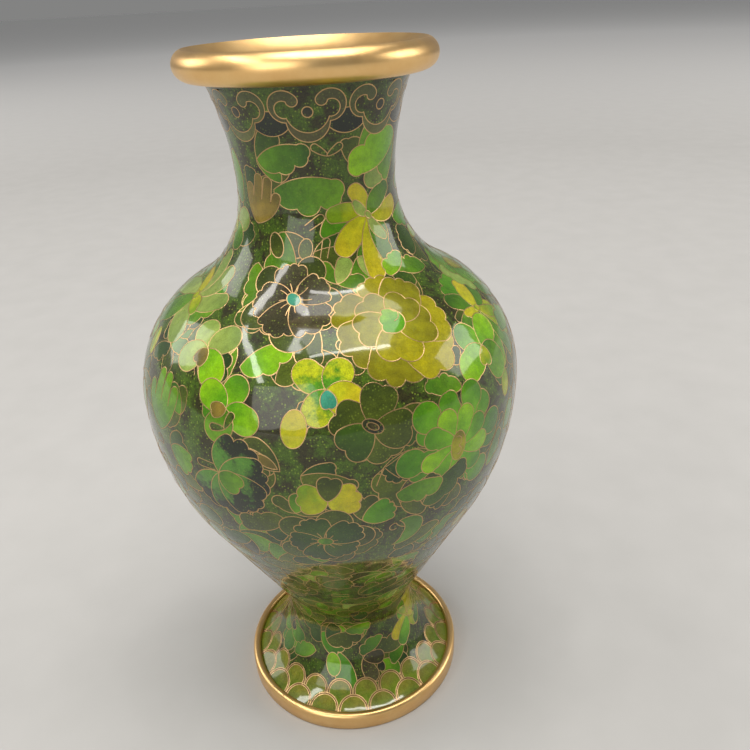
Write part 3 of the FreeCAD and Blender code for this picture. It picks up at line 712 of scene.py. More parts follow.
def around_circle(circle, start, end, way):
    """Points on (x, y, radius) from a start point to an end point, anticlockwise if way is 1."""
    x, y, radius = circle
    begin = math.atan2(start[1] - y, start[0] - x)
    sweep = (math.atan2(end[1] - y, end[0] - x) - begin) % (2 * math.pi)
    if way < 0:
        sweep -= 2 * math.pi
    count = max(2, math.ceil(abs(sweep) * radius / STEP))
    angles = [begin + sweep * i / count for i in range(count)]
    return [(x + radius * math.cos(a), y + radius * math.sin(a)) for a in angles]


def circles_cross(first, second, way):
    """Where two circles cross: to the left of the line from the first centre to the second if way is 1."""
    dx, dy = second[0] - first[0], second[1] - first[1]
    apart = math.hypot(dx, dy)
    along = (apart**2 + first[2] ** 2 - second[2] ** 2) / (2 * apart)
    aside = way * math.sqrt(first[2] ** 2 - along**2)
    return first[0] + (along * dx - aside * dy) / apart, first[1] + (along * dy + aside * dx) / apart


def foot_of(circle):
    """The lowest point of a circle."""
    x, y, radius = circle
    return x, y - radius


def ruyi_half():
    """Half of a ruyi head's band about its eye, from the lowest point out and back to the hollow's floor."""
    x, y, radius = RUYI_LOBE
    cos, sin = math.cos(BULB_TURN), math.sin(BULB_TURN)
    swing = radius - BULB_RADIUS
    bulb = (x + swing * cos, y + swing * sin, BULB_RADIUS)
    tangent = (x + radius * cos, y + radius * sin)
    notch = circles_cross(RUYI_LOBE, CHIN_UNDER, 1)
    corner = circles_cross(RUYI_HOLLOW, CHIN_OVER, 1)
    nose = circles_cross(RUYI_HOLLOW, bulb, -1)
    points = around_circle(CHIN_UNDER, foot_of(CHIN_UNDER), notch, 1)
    points += around_circle(RUYI_LOBE, notch, tangent, 1)
    points += around_circle(bulb, tangent, nose, 1)
    points += around_circle(RUYI_HOLLOW, nose, corner, -1)
    points += around_circle(CHIN_OVER, corner, foot_of(CHIN_OVER), -1)
    return points


def mirrored(points):
    """The points' mirror images left of the axis, in the opposite order."""
    return [(-x, y) for x, y in reversed(points)]


def collar_marks(brush):
    """Ruyi heads, with a scoop behind each meeting of two heads, as (azimuth, along, marks)."""
    along = STARTS[6] + THROAT_ARC * math.asin((RUYI_EYE_HEIGHT - NECK_HEIGHT) / THROAT_ARC)
    half = ruyi_half()
    head = half + [foot_of(CHIN_OVER)] + mirrored(half[1:])
    rim = half[: half.index(max(half, key=lambda point: point[1])) + 1]
    hull = rim + mirrored(rim)
    scoop = opened([(-SCOOP_REACH, SCOOP_HEIGHT, SCOOP_BOW), (SCOOP_REACH, SCOOP_HEIGHT, 0.0)])
    groups = []
    for index in range(RUYI_COUNT):
        turn = RUYI_TURN + 360 * (index + 0.5) / RUYI_COUNT
        pendant = Mark(scoop, PENDANT, (0, 0), (0, -8), "pendant_wires", "pendant_enamel")
        groups.append((turn, along, [pendant]))
    for index in range(RUYI_COUNT):
        turn = RUYI_TURN + 360 * index / RUYI_COUNT
        band = brush.random.choice(RUYI_BAND)
        marks = [
            Mark(hull[1:], GROUND, (0, 0), (0, 8), NO_WIRE),
            Mark(head, band, (0, -9), (0, 6), "ruyi_wires", "ruyi_band_enamel"),
            Mark(oval(3.2, 3.2), RUYI_EYE, (0, 0), (0, 2), "ruyi_eye_wires", "ruyi_eye_enamel"),
        ]
        groups.append((turn, along, marks))
    return groups


def scale_arch(radius):
    """A round arch on two legs, about the arch's centre."""
    left, right = (-radius, 0.0), (radius, 0.0)
    crown = around_circle((0.0, 0.0, radius), right, left, 1)
    return [(radius, -SCALE_LEG)] + crown + [left, (-radius, -SCALE_LEG)]


def scale_marks(brush):
    """Two staggered rows of arched scales, the upper row first so that the lower one covers its feet."""
    groups = []
    for row, along, radius, stagger in SCALE_ROWS:
        wires, cells = f"{row}_scale_wires", f"{row}_scale_enamel"
        for index in range(SCALE_COUNT):
            turn = SCALE_TURN + 360 * (index + stagger) / SCALE_COUNT
            enamel = brush.random.choice(SCALES)
            # each scale is a brown band of painted shade inside its wire, with the cell's own enamel within
            # it
            rim = Mark(scale_arch(radius), SCALE_WIRE_SHADE, (0, 0), (0, radius), wires, cells)
            inner = scale_arch(radius - SCALE_WIRE_SHADE_WIDTH)
            groups.append((turn, along, [rim, Mark(inner, enamel, (0, -4), (0, radius), NO_WIRE, cells)]))
    return groups


# ---- laying everything out in the plane ----


class Placed:
    """A mark carried to the layout plane, with its colour's direction there."""

    def __init__(self, mark, around, along, turn, size):
        scale = size / wall_at(along)[0]
        shift = (math.radians(around), rise_of(along))
        self.mark = mark
        self.points = turned(mark.points, turn, shift, scale)
        self.base, tip = turned([mark.base, mark.tip], turn, shift, scale)
        self.reach = (tip[0] - self.base[0], tip[1] - self.base[1])
        self.is_cell = mark.enamel is not None
        if self.is_cell and signed_area(self.points) < 0:
            self.points.reverse()

    def fade(self, point):
        """0 at the colour's base and 1 at its tip."""
        dx, dy = point[0] - self.base[0], point[1] - self.base[1]
        return (dx * self.reach[0] + dy * self.reach[1]) / (self.reach[0] ** 2 + self.reach[1] ** 2)

    def copies(self):
        """Its outline, and again a full turn away where it crosses the back of the vase."""
        shifts = [0.0]
        if min(self.points)[0] < -math.pi:
            shifts.append(2 * math.pi)
        if max(self.points)[0] > math.pi:
            shifts.append(-2 * math.pi)
        return [[(x + shift, y) for x, y in self.points] for shift in shifts]


def signed_area(points):
    """The area inside a closed outline, below 0 when it runs clockwise."""
    pairs = zip(points, points[1:] + points[:1])
    return sum(a[0] * b[1] - b[0] * a[1] for a, b in pairs) / 2


def near_turn(degrees):
    """The same azimuth between -180 and 180."""
    return (degrees + 180) % 360 - 180


def lay_out():
    """Every mark on the vase, in painting order."""
    brush = Brush(SEED)
    placed = []
    for azimuth, along in strew(brush):
        motif, enamels = brush.random.choice(UNDERGROWTH)
        turn = brush.random.uniform(0, 360)
        for mark in motif(brush, *enamels.split()):
            placed.append(Placed(mark, azimuth, along, turn, brush.about(0.9, 0.15)))
    for far in (True, False):
        for motif, around, along, turn, size, enamels in GARDEN:
            names = enamels.split()
            if far:
                names = [FAR_ENAMELS.get(name, name) for name in names]
            azimuth = near_turn(around + 180 if far else around)
            size *= brush.about(1.0, 0.04)
            placed += [Placed(mark, azimuth, along, turn, size) for mark in motif(brush, *names)]
    for around, along, marks in collar_marks(brush) + scale_marks(brush):
        placed += [Placed(mark, near_turn(around), along, 0.0, 1.0) for mark in marks]
    return placed


GRID = 2.3  # spacing, in millimetres, of the points that carry the wall's curve inside large cells
SQUARE = 0.012  # side, in the plane; a grid point is left out if an outline has a point in its square
BOTTOM_STEPS, TOP_STEPS = 120, 96
NOBODY = -1  # owns the ground, and the lines along the seams


class Cutting:
    """What the wall is cut along: outlines to fill, and lines, each with the number of its mark."""

    def __init__(self):
        self.points, self.taken = [], set()
        self.faces, self.face_owners = [], []
        self.lines, self.line_owners = [], []

    def add(self, points):
        """Take points in and give back their numbers."""
        first = len(self.points)
        self.points += points
        return list(range(first, len(self.points)))

    def fill(self, numbers, owner):
        """A closed outline."""
        self.faces.append(numbers)
        self.face_owners.append(owner)

    def draw(self, numbers, owner):
        """A line from point to point."""
        pairs = list(zip(numbers, numbers[1:]))
        self.lines += pairs
        self.line_owners += [owner] * len(pairs)


def square_of(point):
    """The square of the layout plane that a point lies in."""
    return round(point[0] / SQUARE), round(point[1] / SQUARE)


def grid_rows():
    """Heights in the plane of the rows of grid points, with the seams between the coats among them."""
    stops = sorted(SEAMS.values()) + [WALL_LENGTH]
    rows = []
    for low, high in zip(stops, stops[1:]):
        count = max(1, round((high - low) / GRID))
        rows += [low + (high - low) * i / count for i in range(count)]
    return [rise_of(along) for along in rows + [WALL_LENGTH]]


def whole_wall(rows):
    """The outline of the whole wall in the layout plane, its two sides cut at the grid rows."""
    bottom = [(-math.pi + 2 * math.pi * i / BOTTOM_STEPS, rows[0]) for i in range(BOTTOM_STEPS)]
    right = [(math.pi, rise) for rise in rows[:-1]]
    top = [(math.pi - 2 * math.pi * i / TOP_STEPS, rows[-1]) for i in range(TOP_STEPS)]
    return bottom + right + top + [(-math.pi, rise) for rise in reversed(rows[1:])]


def grid_row(rise, shift):
    """Grid points round the vase at one height, shifted by that part of their spacing."""
    count = max(12, round(2 * math.pi * wall_at(along_of(rise))[0] / GRID))
    return [(-math.pi + 2 * math.pi * (i + 0.5 + shift) / count, rise) for i in range(count)]


def lay_grid(cutting, rows):
    """Add the grid, where no outline passes, and cut the wall along the seams between coats."""
    seams = {rise_of(along) for along in SEAMS.values() if along > 0}
    for row, rise in enumerate(rows[1:-1]):
        grid = grid_row(rise, 0.49 * (row % 2))
        if not any(abs(rise - seam) < 1e-7 for seam in seams):
            cutting.add([point for point in grid if square_of(point) not in cutting.taken])
            continue
        line = cutting.add(grid)
        left, right = cutting.add([(-math.pi, rise), (math.pi, rise)])
        for numbers in (line, (line[0], left), (line[-1], right)):
            cutting.draw(numbers, NOBODY)


def partition(placed):
    """The wall cut along every outline: points, triangles, each one's top mark, and edges of bare wires."""
    cutting = Cutting()
    rows = grid_rows()
    cutting.fill(cutting.add(whole_wall(rows)), NOBODY)
    for order, item in enumerate(placed):
        for outline in item.copies():
            numbers = cutting.add(outline)
            cutting.taken.update(square_of(point) for point in outline)
            if item.is_cell:
                cutting.fill(numbers, order)
            else:
                cutting.draw(numbers, order)
    lay_grid(cutting, rows)
    places = [Vector(point) for point in cutting.points]
    result = delaunay_2d_cdt(places, cutting.lines, cutting.faces, 0, 1e-6, True)
    points, edges, faces, _, edge_sources, face_sources = result
    triangles, tops = [], []
    for triangle, sources in zip(faces, face_sources):
        if 0 in sources:  # the whole wall was the first outline
            triangles.append(triangle)
            tops.append(cutting.face_owners[max(sources)])
    bare = {}
    for pair, sources in zip(edges, edge_sources):
        # sources past the last line are sides of outlines
        own = [cutting.line_owners[i] for i in sources if i < len(cutting.lines)]
        if own and max(own) > NOBODY:
            bare[edge_of(*pair)] = max(own)
    return [(point.x, point.y) for point in points], triangles, tops, bare


def edge_of(a, b):
    """The edge between two points, the same both ways."""
    return (a, b) if a < b else (b, a)


# ---- meshes ----

SLOTS = {part["node"]: part["material_slot"] for part in frame["record"]["subparts"]}
SKIN_DEPTH = 0.07  # how far the enamel lies below the wires' crowns, in millimetres


def new_mesh(name, verts, faces):
    """A mesh of that name."""
    mesh = bpy.data.meshes.new(name)
    mesh.from_pydata(verts, [], faces)
    return mesh


def link_object(name, data):
    """A new object in the scene."""
    thing = bpy.data.objects.new(name, data)
    bpy.context.scene.collection.objects.link(thing)
    return thing


def new_object(name, mesh, material):
    """A piece of the vase with one material."""
    mesh.materials.append(material)
    thing = link_object(name, mesh)
    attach(thing, "root")
    return thing


def coat_of(edge_or_triangle, points):
    """The name of the coat that the middle of an edge or a triangle lies on."""
    rise = sum(points[i][1] for i in edge_or_triangle) / len(edge_or_triangle)
    along = along_of(rise)
    return [name for name, start in SEAMS.items() if along >= start - 1e-6][-1]


def corner_layer(mesh, name, kind, values):
    """An attribute with a value, or a colour, for every corner of the mesh."""
    layer = mesh.attributes.new(name, kind, "CORNER")
    layer.data.foreach_set("color" if kind == "FLOAT_COLOR" else "value", values)


def meeting_key(point):
    """One key for a point of the layout plane and its twin a full turn away, where the sides meet."""
    around, rise = point
    return round(-math.pi if around > math.pi - 1e-7 else around, 7), round(rise, 7)


def skin_mesh(name, members, points):
    """The mesh of some (triangle, mark) pairs, each corner carrying its mark's colours."""
    index, places, normals, polygons = {}, [], [], []
    bases, tips, fades, grains = [], [], [], []
    for triangle, item in members:
        corners = []
        for i in triangle:
            key = meeting_key(points[i])
            if key not in index:
                index[key] = len(places)
                place, normal = on_wall(points[i], -SKIN_DEPTH)
                places.append(place)
                normals.append(normal)
            corners.append(index[key])
        if len(set(corners)) < 3:
            continue
        polygons.append(corners)
        enamel = item.mark.enamel if item else GROUND
        for i in triangle:
            bases += [*enamel.base, enamel.soft]
            tips += [*enamel.tip, enamel.ragged]
            fades.append(0.5 if enamel is GROUND else item.fade(points[i]))
            grains.append(enamel.grain)
    mesh = new_mesh(name, places, polygons)
    corner_layer(mesh, "base_ink", "FLOAT_COLOR", bases)
    corner_layer(mesh, "tip_ink", "FLOAT_COLOR", tips)
    corner_layer(mesh, "fade", "FLOAT", fades)
    corner_layer(mesh, "grain", "FLOAT", grains)
    mesh.normals_split_custom_set_from_vertices(normals)
    return mesh


def make_enamel(points, triangles, tops, placed, material):
    """One skin for each CAD coat and kind of cell."""
    groups = {}
    for triangle, top in zip(triangles, tops):
        item = None if top == NOBODY else placed[top]
        name = item.mark.cell_piece if item else None
        name = name or coat_of(triangle, points) + "_enamel"
        groups.setdefault(name, []).append((triangle, item))
    for name, members in sorted(groups.items(), key=lambda group: group[0]):
        skin = new_object(f"{name}_skin", skin_mesh(name, members, points), material)
        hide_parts(name)


def wire_edges(triangles, tops, placed, bare):
    """Edges where a wire shows, each with the name of its wire piece, or None for a flower's."""
    beside = {}
    for triangle, top in zip(triangles, tops):
        for pair in zip(triangle, triangle[1:] + triangle[:1]):
            beside.setdefault(edge_of(*pair), []).append(top)
    shown = {}
    for edge, sides in beside.items():
        low, high = min(sides), max(sides)
        if low != high:
            piece = placed[high].mark.wire_piece
            if piece == NO_WIRE and low > NOBODY:
                piece = placed[low].mark.wire_piece
            if piece != NO_WIRE:
                shown[edge] = piece
        elif bare.get(edge, NOBODY) > high:
            shown[edge] = None
    return shown


def chains_of(edges):
    """Runs of edges through points where exactly two meet."""
    near = {}
    for a, b in edges:
        near.setdefault(a, []).append(b)
        near.setdefault(b, []).append(a)
    used = set()
    chains = []

    def walk(start, after):
        """Follow the edges from one point through the next, unless that has been done."""
        chain = [start]
        while edge_of(chain[-1], after) not in used:
            used.add(edge_of(chain[-1], after))
            chain.append(after)
            if len(near[after]) != 2:
                break
            after = [point for point in near[after] if point != chain[-2]][0]
        if len(chain) > 1:
            chains.append(chain)

    ends = [point for point, others in near.items() if len(others) != 2]
    for start in ends + list(near):
        for after in near[start]:
            walk(start, after)
    return chains


SUNK = 0.1  # how far a wire's edges lie below the surface, in millimetres, where its crown is flush
LEAST_LINK = 0.16  # between two points of a wire, in millimetres
CROWN_LEAN = 0.55  # how far the normals lean outward at a wire's edges
SHARP = math.radians(38)  # edges that turn more than this are shaded sharp


def thinned(line):
    """The line without points that nearly touch the one before."""
    kept = [line[0]]
    for point in line[1:]:
        if math.dist(point, kept[-1]) * wall_at(along_of(point[1]))[0] > LEAST_LINK:
            kept.append(point)
    if len(kept) > 1:
        kept[-1] = line[-1]
    return kept


def heading(before, point, after):
    """The way a line runs through a point, and how many times wider it is cut there, at most twice."""
    into = direction(before, point) if before else None
    out = direction(point, after) if after else None
    into, out = into or out, out or into
    x, y = into[0] + out[0], into[1] + out[1]
    length = math.hypot(x, y)
    if length < 0.3:  # it nearly turns back on itself
        x, y, length = out[0], out[1], 1.0
    x, y = x / length, y / length
    return x, y, 1 / max(x * out[0] + y * out[1], 0.5)


def ribbon(line, width, verts, normals, quads):
    """A crowned strip of metal along a line of layout points, given in order."""
    kept = thinned(line)
    if len(kept) < 2:
        return
    looped = math.dist(kept[0], kept[-1]) < NOTHING
    before_first, after_last = (kept[-2], kept[1]) if looped else (None, None)
    for before, point, after in zip([before_first] + kept, kept, kept[1:] + [after_last]):
        x, y, wider = heading(before, point, after)
        half = width / 2 * wider / wall_at(along_of(point[1]))[0]
        for side, lift in ((-1, -SUNK), (0, 0.0), (1, -SUNK)):
            place, normal = on_wall((point[0] - y * half * side, point[1] + x * half * side), lift)
            if side:
                reach = half * side * 1.01
                outward = on_wall((point[0] - y * reach, point[1] + x * reach), lift)[0] - place
                normal = (normal + outward.normalized() * CROWN_LEAN).normalized()
            verts.append(place)
            normals.append(normal)
    first = len(verts) - 3 * len(kept)
    for a in range(first, len(verts) - 3, 3):
        quads.append((a, a + 3, a + 4, a + 1))
        quads.append((a + 1, a + 4, a + 5, a + 2))


def make_wires(points, shown, material):
    """Ribbons along every visible wire, one object for each kind of wire and each coat's flowers."""
    groups = {}
    for edge, piece in shown.items():
        piece = piece or coat_of(edge, points) + "_flower_wires"
        groups.setdefault(piece, []).append(edge)
    draws = random.Random(SEED)
    for piece, edges in sorted(groups.items()):
        verts, normals, quads = [], [], []
        for chain in chains_of(edges):
            line = [points[i] for i in chain]
            ribbon(line, WIRE_WIDTH * draws.uniform(0.9, 1.15), verts, normals, quads)
        mesh = new_mesh(piece, verts, quads)
        mesh.normals_split_custom_set_from_vertices(normals)
        thing = new_object(f"{piece}_inlay", mesh, material)
        if piece in frame["nodes"]:
            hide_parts(piece)


def lathe(name, profile, material, segments):
    """A closed (r, z) profile, in millimetres, turned about the axis."""
    verts, faces = [], []
    count = len(profile)
    for step in range(segments):
        angle = 2 * math.pi * step / segments
        verts += [(r * MM * math.cos(angle), r * MM * math.sin(angle), z * MM) for r, z in profile]
        here, there = step * count, (step + 1) % segments * count
        for index in range(count):
            after = (index + 1) % count
            faces.append((here + index, there + index, there + after, here + after))
    mesh = new_mesh(name, verts, faces)
    mesh.shade_smooth()
    mesh.set_sharp_from_angle(angle=SHARP)
    return new_object(name, mesh, material)


def arc(centre_r, centre_z, radius, start, end, count):
    """Points of an arc in the (r, z) plane, angles in degrees from outward."""
    angles = [math.radians(start + (end - start) * i / count) for i in range(count + 1)]
    return [(centre_r + radius * math.cos(a), centre_z + radius * math.sin(a)) for a in angles]


FUNNEL_SHARES = (0.12, 0.25, 0.4, 0.55, 0.7, 0.85)  # where between crest and mouth the funnel has points
FUNNEL_DIP = 0.5  # how far it sags in between, in millimetres


def make_lip(material):
    """The rolled lip, its crest and the funnel down to the mouth."""
    roll_z = HEIGHT - LIP_ROLL * math.sin(CREST)
    bore_r, bore_z = wall_at(WALL_LENGTH, WALL)[:2]
    profile = [wall_at(WALL_LENGTH)[:2]]
    profile += arc(LIP_RADIUS - LIP_ROLL, roll_z, LIP_ROLL, -90, math.degrees(CREST), 40)
    crest_r, crest_z = profile[-1]
    mouth = HEIGHT - MOUTH_DEPTH
    for share in FUNNEL_SHARES:
        dip = FUNNEL_DIP * math.sin(math.pi * share)
        r = crest_r + (bore_r - crest_r) * share - 0.2 * dip
        profile.append((r, crest_z + (mouth - crest_z) * share - dip))
    profile += [(bore_r, mouth), (bore_r, bore_z)]
    ring = lathe("lip_ring_polished", profile, material, 256)
    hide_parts("lip_ring")


FOOT_BORE = 40.4  # radius inside the foot ring, under its ledge
LEDGE_BORE = 36.6  # and inside the ledge that carries the floor
LEDGE_LOW, LEDGE_TOP = 2.6, 4.0
FOOT_EDGE = ((0.9, 0.0), (0.6, 0.08), (0.25, 0.3), (0.05, 0.6))  # its worn lower edge: (inset, height)


def make_foot_ring(material):
    """The foot ring: a band with a round crown and a worn lower edge, hollow underneath."""
    edge_r = wall_at(0.0)[0]
    crown = (FOOT_RADIUS - edge_r) / 2
    profile = [(FOOT_BORE, 0.0)] + [(FOOT_RADIUS - inset, z) for inset, z in FOOT_EDGE]
    profile += arc(FOOT_RADIUS - crown, FLARE_END_HEIGHT, crown, 0, 180, 20)
    profile += [(edge_r - 0.5, 4.7), (FOOT_BORE - 0.2, LEDGE_TOP), (LEDGE_BORE, LEDGE_TOP)]
    profile += [(LEDGE_BORE, LEDGE_LOW), (FOOT_BORE, LEDGE_LOW)]
    ring = lathe("foot_ring_polished", profile, material, 256)
    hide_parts("foot_ring")


LINING = 0.6
FLOOR_LOW, FLOOR_TOP = 5.0, 5.6  # heights of the lining on the floor
FLOOR_RADIUS = 36.6
AXIS = 0.01  # radius of the pinhole that a lathed floor leaves on the axis
LINING_STEPS = 80


def make_lining(material):
    """The glazed inside wall and floor, from the mouth down."""
    alongs = [WALL_LENGTH * i / LINING_STEPS for i in range(LINING_STEPS + 1)]
    inner = [wall_at(along, WALL)[:2] for along in reversed(alongs)]
    outer = [wall_at(along, WALL - LINING)[:2] for along in alongs]
    profile = [point for point in inner if point[1] > FLOOR_TOP]
    profile += [(FLOOR_RADIUS, FLOOR_TOP), (AXIS, FLOOR_TOP)]
    profile += [(AXIS, FLOOR_LOW), (FLOOR_RADIUS + 0.3, FLOOR_LOW)]
    profile += [point for point in outer if point[1] > FLOOR_LOW]
    inside = lathe("interior_lining_glazed", profile, material, 128)
    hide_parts("interior_lining")


# ---- materials ----


class Shader:
    """A new Principled material and short calls for the nodes that feed it."""

    def __init__(self, name):
        self.material = bpy.data.materials.new(name)
        self.material.use_nodes = True
        self.tree = self.material.node_tree
        self.surface = self.tree.nodes["Principled BSDF"]
        self.place = self.node("ShaderNodeTexCoord").outputs["Object"]

    def link(self, source, target):
        """Join an output to a socket, or set a plain value on it."""
        if isinstance(source, bpy.types.NodeSocket):
            self.tree.links.new(source, target)
        else:
            target.default_value = source

    def node(self, kind, inputs=(), **settings):
        """A node with these settings and inputs."""
        node = self.tree.nodes.new(kind)
        for name, value in settings.items():
            setattr(node, name, value)
        for key, source in dict(inputs).items():
            self.link(source, node.inputs[key])
        return node

    def feed(self, **inputs):
        """The surface's own inputs, with _ for each space in a name."""
        for name, source in inputs.items():
            self.link(source, self.surface.inputs[name.replace("_", " ")])

    def noise(self, size, detail=2.0, roughness=0.5, distortion=0.0):
        """Noise whose features are about size metres across."""
        inputs = {"Vector": self.place, "Scale": 1 / size, "Detail": detail}
        inputs.update({"Roughness": roughness, "Distortion": distortion})
        return self.node("ShaderNodeTexNoise", inputs).outputs["Fac"]

    def specks(self, size, radius, share):
        """1 inside scattered dots: of cells size across, the share given holds a dot of that radius."""
        cells = self.node("ShaderNodeTexVoronoi", {"Vector": self.place, "Scale": 1 / size})
        dot = self.math("LESS_THAN", cells.outputs["Distance"], radius / size)
        split = self.node("ShaderNodeSeparateColor", {"Color": cells.outputs["Color"]})
        return self.times(dot, self.math("LESS_THAN", split.outputs["Red"], share))

    def math(self, operation, first, second, clamp=False):
        """A sum, a product or another operation on two numbers."""
        inputs = enumerate((first, second))
        return self.node("ShaderNodeMath", inputs, operation=operation, use_clamp=clamp).outputs[0]

    def times(self, first, second):
        """The product."""
        return self.math("MULTIPLY", first, second)

    def plus(self, first, second, clamp=False):
        """The sum, kept between 0 and 1 if clamped."""
        return self.math("ADD", first, second, clamp)

    def span(self, value, low, high, start=0.25, end=0.75):
        """What runs from start to end, as noise does between its usual bounds, spread from low to high."""
        inputs = {"Value": value, "From Min": start, "From Max": end, "To Min": low, "To Max": high}
        return self.node("ShaderNodeMapRange", inputs).outputs[0]

    def mix(self, factor, first, second):
        """The first colour where the factor is 0 and the second where it is 1."""
        inputs = {0: factor, 6: first, 7: second}
        return self.node("ShaderNodeMix", inputs, data_type="RGBA").outputs[2]

    def attribute(self, name):
        """What the mesh's corners carry under that name."""
        return self.node("ShaderNodeAttribute", attribute_name=name).outputs

    def relief(self, height, distance, strength=1.0, **under):
        """The normal over bumps of that height, laid over another normal if one is given."""
        inputs = {"Height": height, "Distance": distance, "Strength": strength, **under}
        return self.node("ShaderNodeBump", inputs).outputs["Normal"]


def two_inks(shader):
    """A cell's two inks, meeting in a ragged edge."""
    base, tip = shader.attribute("base_ink"), shader.attribute("tip_ink")
    cloud = shader.span(shader.noise(0.006, 3.0, 0.55, 0.4), -0.5, 0.5)
    shreds = shader.span(shader.noise(0.0014, 3.0, 0.65), -0.22, 0.22)
    offset = shader.plus(shader.times(cloud, tip["Alpha"]), shader.times(shreds, tip["Alpha"]))
    centred = shader.math("SUBTRACT", shader.attribute("fade")["Fac"], 0.5)
    steep = shader.math("DIVIDE", shader.plus(centred, offset), base["Alpha"])
    return shader.mix(shader.plus(steep, 0.5, True), base["Color"], tip["Color"])


def frit(shader, colour):
    """The colour broken up by light and dark frit grains, strongest in the ground, with green sparks."""
    grain = shader.attribute("grain")["Fac"]
    grains = shader.span(shader.noise(0.00042, 2.0, 0.75), -0.62, 0.62)
    drift = shader.span(shader.noise(0.0028, 4.0, 0.65), -0.28, 0.28)
    light = shader.plus(shader.plus(shader.times(grains, grain), drift), 1.0)
    scaled = shader.node("ShaderNodeVectorMath", {0: colour, "Scale": light}, operation="SCALE")
    sparks = shader.times(shader.specks(0.0009, 0.00026, 0.45), grain)
    return shader.mix(shader.times(sparks, 0.5), scaled.outputs[0], (0.22, 0.30, 0.03, 1))


def enamel_material():
    """Translucent glass enamel, ground flush and polished: two inks, grain, mottling, and pinholes painted
    near-black as painted shade.
    """
    shader = Shader("fired_enamel")
    colour = frit(shader, two_inks(shader))
    shaded_pinholes = shader.specks(0.0024, 0.00013, 0.28)
    # painted shade: the pinholes are coloured near-black, as their hollows are dark
    colour = shader.mix(shader.times(shaded_pinholes, 0.85), colour, (0.006, 0.007, 0.004, 1))
    # a hazy gloss from the glass, and the polished top's sharp one over it
    gloss = shader.span(shader.noise(0.004, 2.0), 0.22, 0.34)
    waves = shader.relief(shader.noise(0.009, 1.0), 0.00022)
    dented = shader.relief(shader.times(shaded_pinholes, -1.0), 0.00006, Normal=waves)
    shader.feed(Base_Color=colour, Roughness=shader.plus(gloss, shader.times(shaded_pinholes, 0.4)), IOR=1.22)
    shader.feed(Normal=dented, Coat_Normal=dented, Coat_Weight=0.85, Coat_Roughness=0.06, Coat_IOR=1.5)
    return shader.material


# each metal's light and dark tones, least and most roughness, size of its wear, and relief, in metres
METALS = {
    "gilt_wire": ((0.66, 0.44, 0.21, 1), (0.42, 0.26, 0.12, 1), 0.24, 0.42, 0.0007, 0.00002),
    "gilding": ((0.92, 0.64, 0.29, 1), (0.80, 0.49, 0.19, 1), 0.30, 0.38, 0.006, 0.000003),
    "fired_copper": ((0.62, 0.30, 0.19, 1), (0.28, 0.12, 0.08, 1), 0.4, 0.6, 0.001, 0.00008),
    "brazing": ((0.78, 0.60, 0.34, 1), (0.50, 0.36, 0.2, 1), 0.35, 0.55, 0.001, 0.00008),
}


def metal_material(name):
    """A warm metal with darker patches, fine wear and soft waves."""
    light, dark, smooth, rough, wear_size, relief = METALS[name]
    shader = Shader(name)
    patches = shader.span(shader.noise(0.011, 4.0, 0.6), 0.0, 1.0)
    wear = shader.noise(wear_size, 4.0, 0.7)
    colour = shader.mix(shader.span(wear, 0.0, 0.35), shader.mix(patches, light, dark), dark)
    waves = shader.relief(shader.noise(0.014, 1.0), relief * 6, 0.6)
    shader.feed(Base_Color=colour, Metallic=1.0, Roughness=shader.span(wear, smooth, rough))
    shader.feed(Normal=shader.relief(wear, relief, 0.5, Normal=waves))
    return shader.material


def glaze_material():
    """The plain counter-enamel inside: teal, dark and glossy, with a few pale specks."""
    shader = Shader("counter_enamel")
    cloud = shader.span(shader.noise(0.012, 3.0), 0.0, 1.0)
    colour = shader.mix(cloud, (0.010, 0.055, 0.07, 1), (0.02, 0.09, 0.10, 1))
    dots = shader.specks(0.002, 0.00022, 0.3)
    colour = shader.mix(shader.times(dots, 0.6), colour, (0.10, 0.22, 0.22, 1))
    shader.feed(Base_Color=colour, Roughness=shader.span(shader.noise(0.005), 0.12, 0.24))
    shader.feed(Normal=shader.relief(shader.noise(0.004, 3.0), 0.0003))
    return shader.material


def finish_cad_nodes(finishes):
    """Better finishes, by slot, for the CAD pieces that stay: shells, brazes, floor and its enamel."""
    for name, thing in frame["nodes"].items():
        if SLOTS[name] in finishes and thing.type == "MESH":
            for slot in thing.material_slots:
                slot.material = finishes[SLOTS[name]]


# ---- studio ----

FLOOR_HALF = 30.0  # half the floor's side, in metres


def make_floor():
    """A pale floor with painted light: its colour turns paler far away, standing in for light where the
    softboxes hardly reach.
    """
    shader = Shader("pale_floor")
    cloud = shader.span(shader.noise(0.03, 3.0), 0.0, 1.0)
    near = shader.mix(cloud, (0.405, 0.40, 0.39, 1), (0.43, 0.425, 0.415, 1))
    reach = shader.node("ShaderNodeVectorMath", {0: shader.place}, operation="LENGTH").outputs["Value"]
    # painted light: the colour is mixed toward near-white with distance from the vase, where the softboxes
    # hardly reach
    away = shader.span(reach, 0.0, 1.0, 1.2, 4.5)
    shader.feed(Base_Color=shader.mix(away, near, (0.93, 0.93, 0.93, 1)), Roughness=0.75)
    corners = [(x * FLOOR_HALF, y * FLOOR_HALF, 0) for x, y in ((-1, -1), (1, -1), (1, 1), (-1, 1))]
    mesh = new_mesh("floor", corners, [(0, 1, 2, 3)])
    mesh.materials.append(shader.material)
    floor = link_object("floor", mesh)


def stand(place, right, above, back):
    """The placement of something whose own axes point those ways."""
    return Matrix.Translation(place) @ Matrix((right, above, back)).transposed().to_4x4()


def add_softbox(name, place, width, height, power, across=(1.0, 0.0, 0.0), target=(0.0, 0.0, 0.15)):
    """A rectangular light facing a target, its width laid as nearly as it can be along the way across."""
    light = bpy.data.lights.new(name, "AREA")
    light.shape = "RECTANGLE"
    light.size, light.size_y = width, height
    light.energy = power
    light.color = (1.0, 0.97, 0.93)
    away = (Vector(place) - Vector(target)).normalized()
    above = away.cross(Vector(across)).normalized()
    link_object(name, light).matrix_world = stand(place, above.cross(away), above, away)


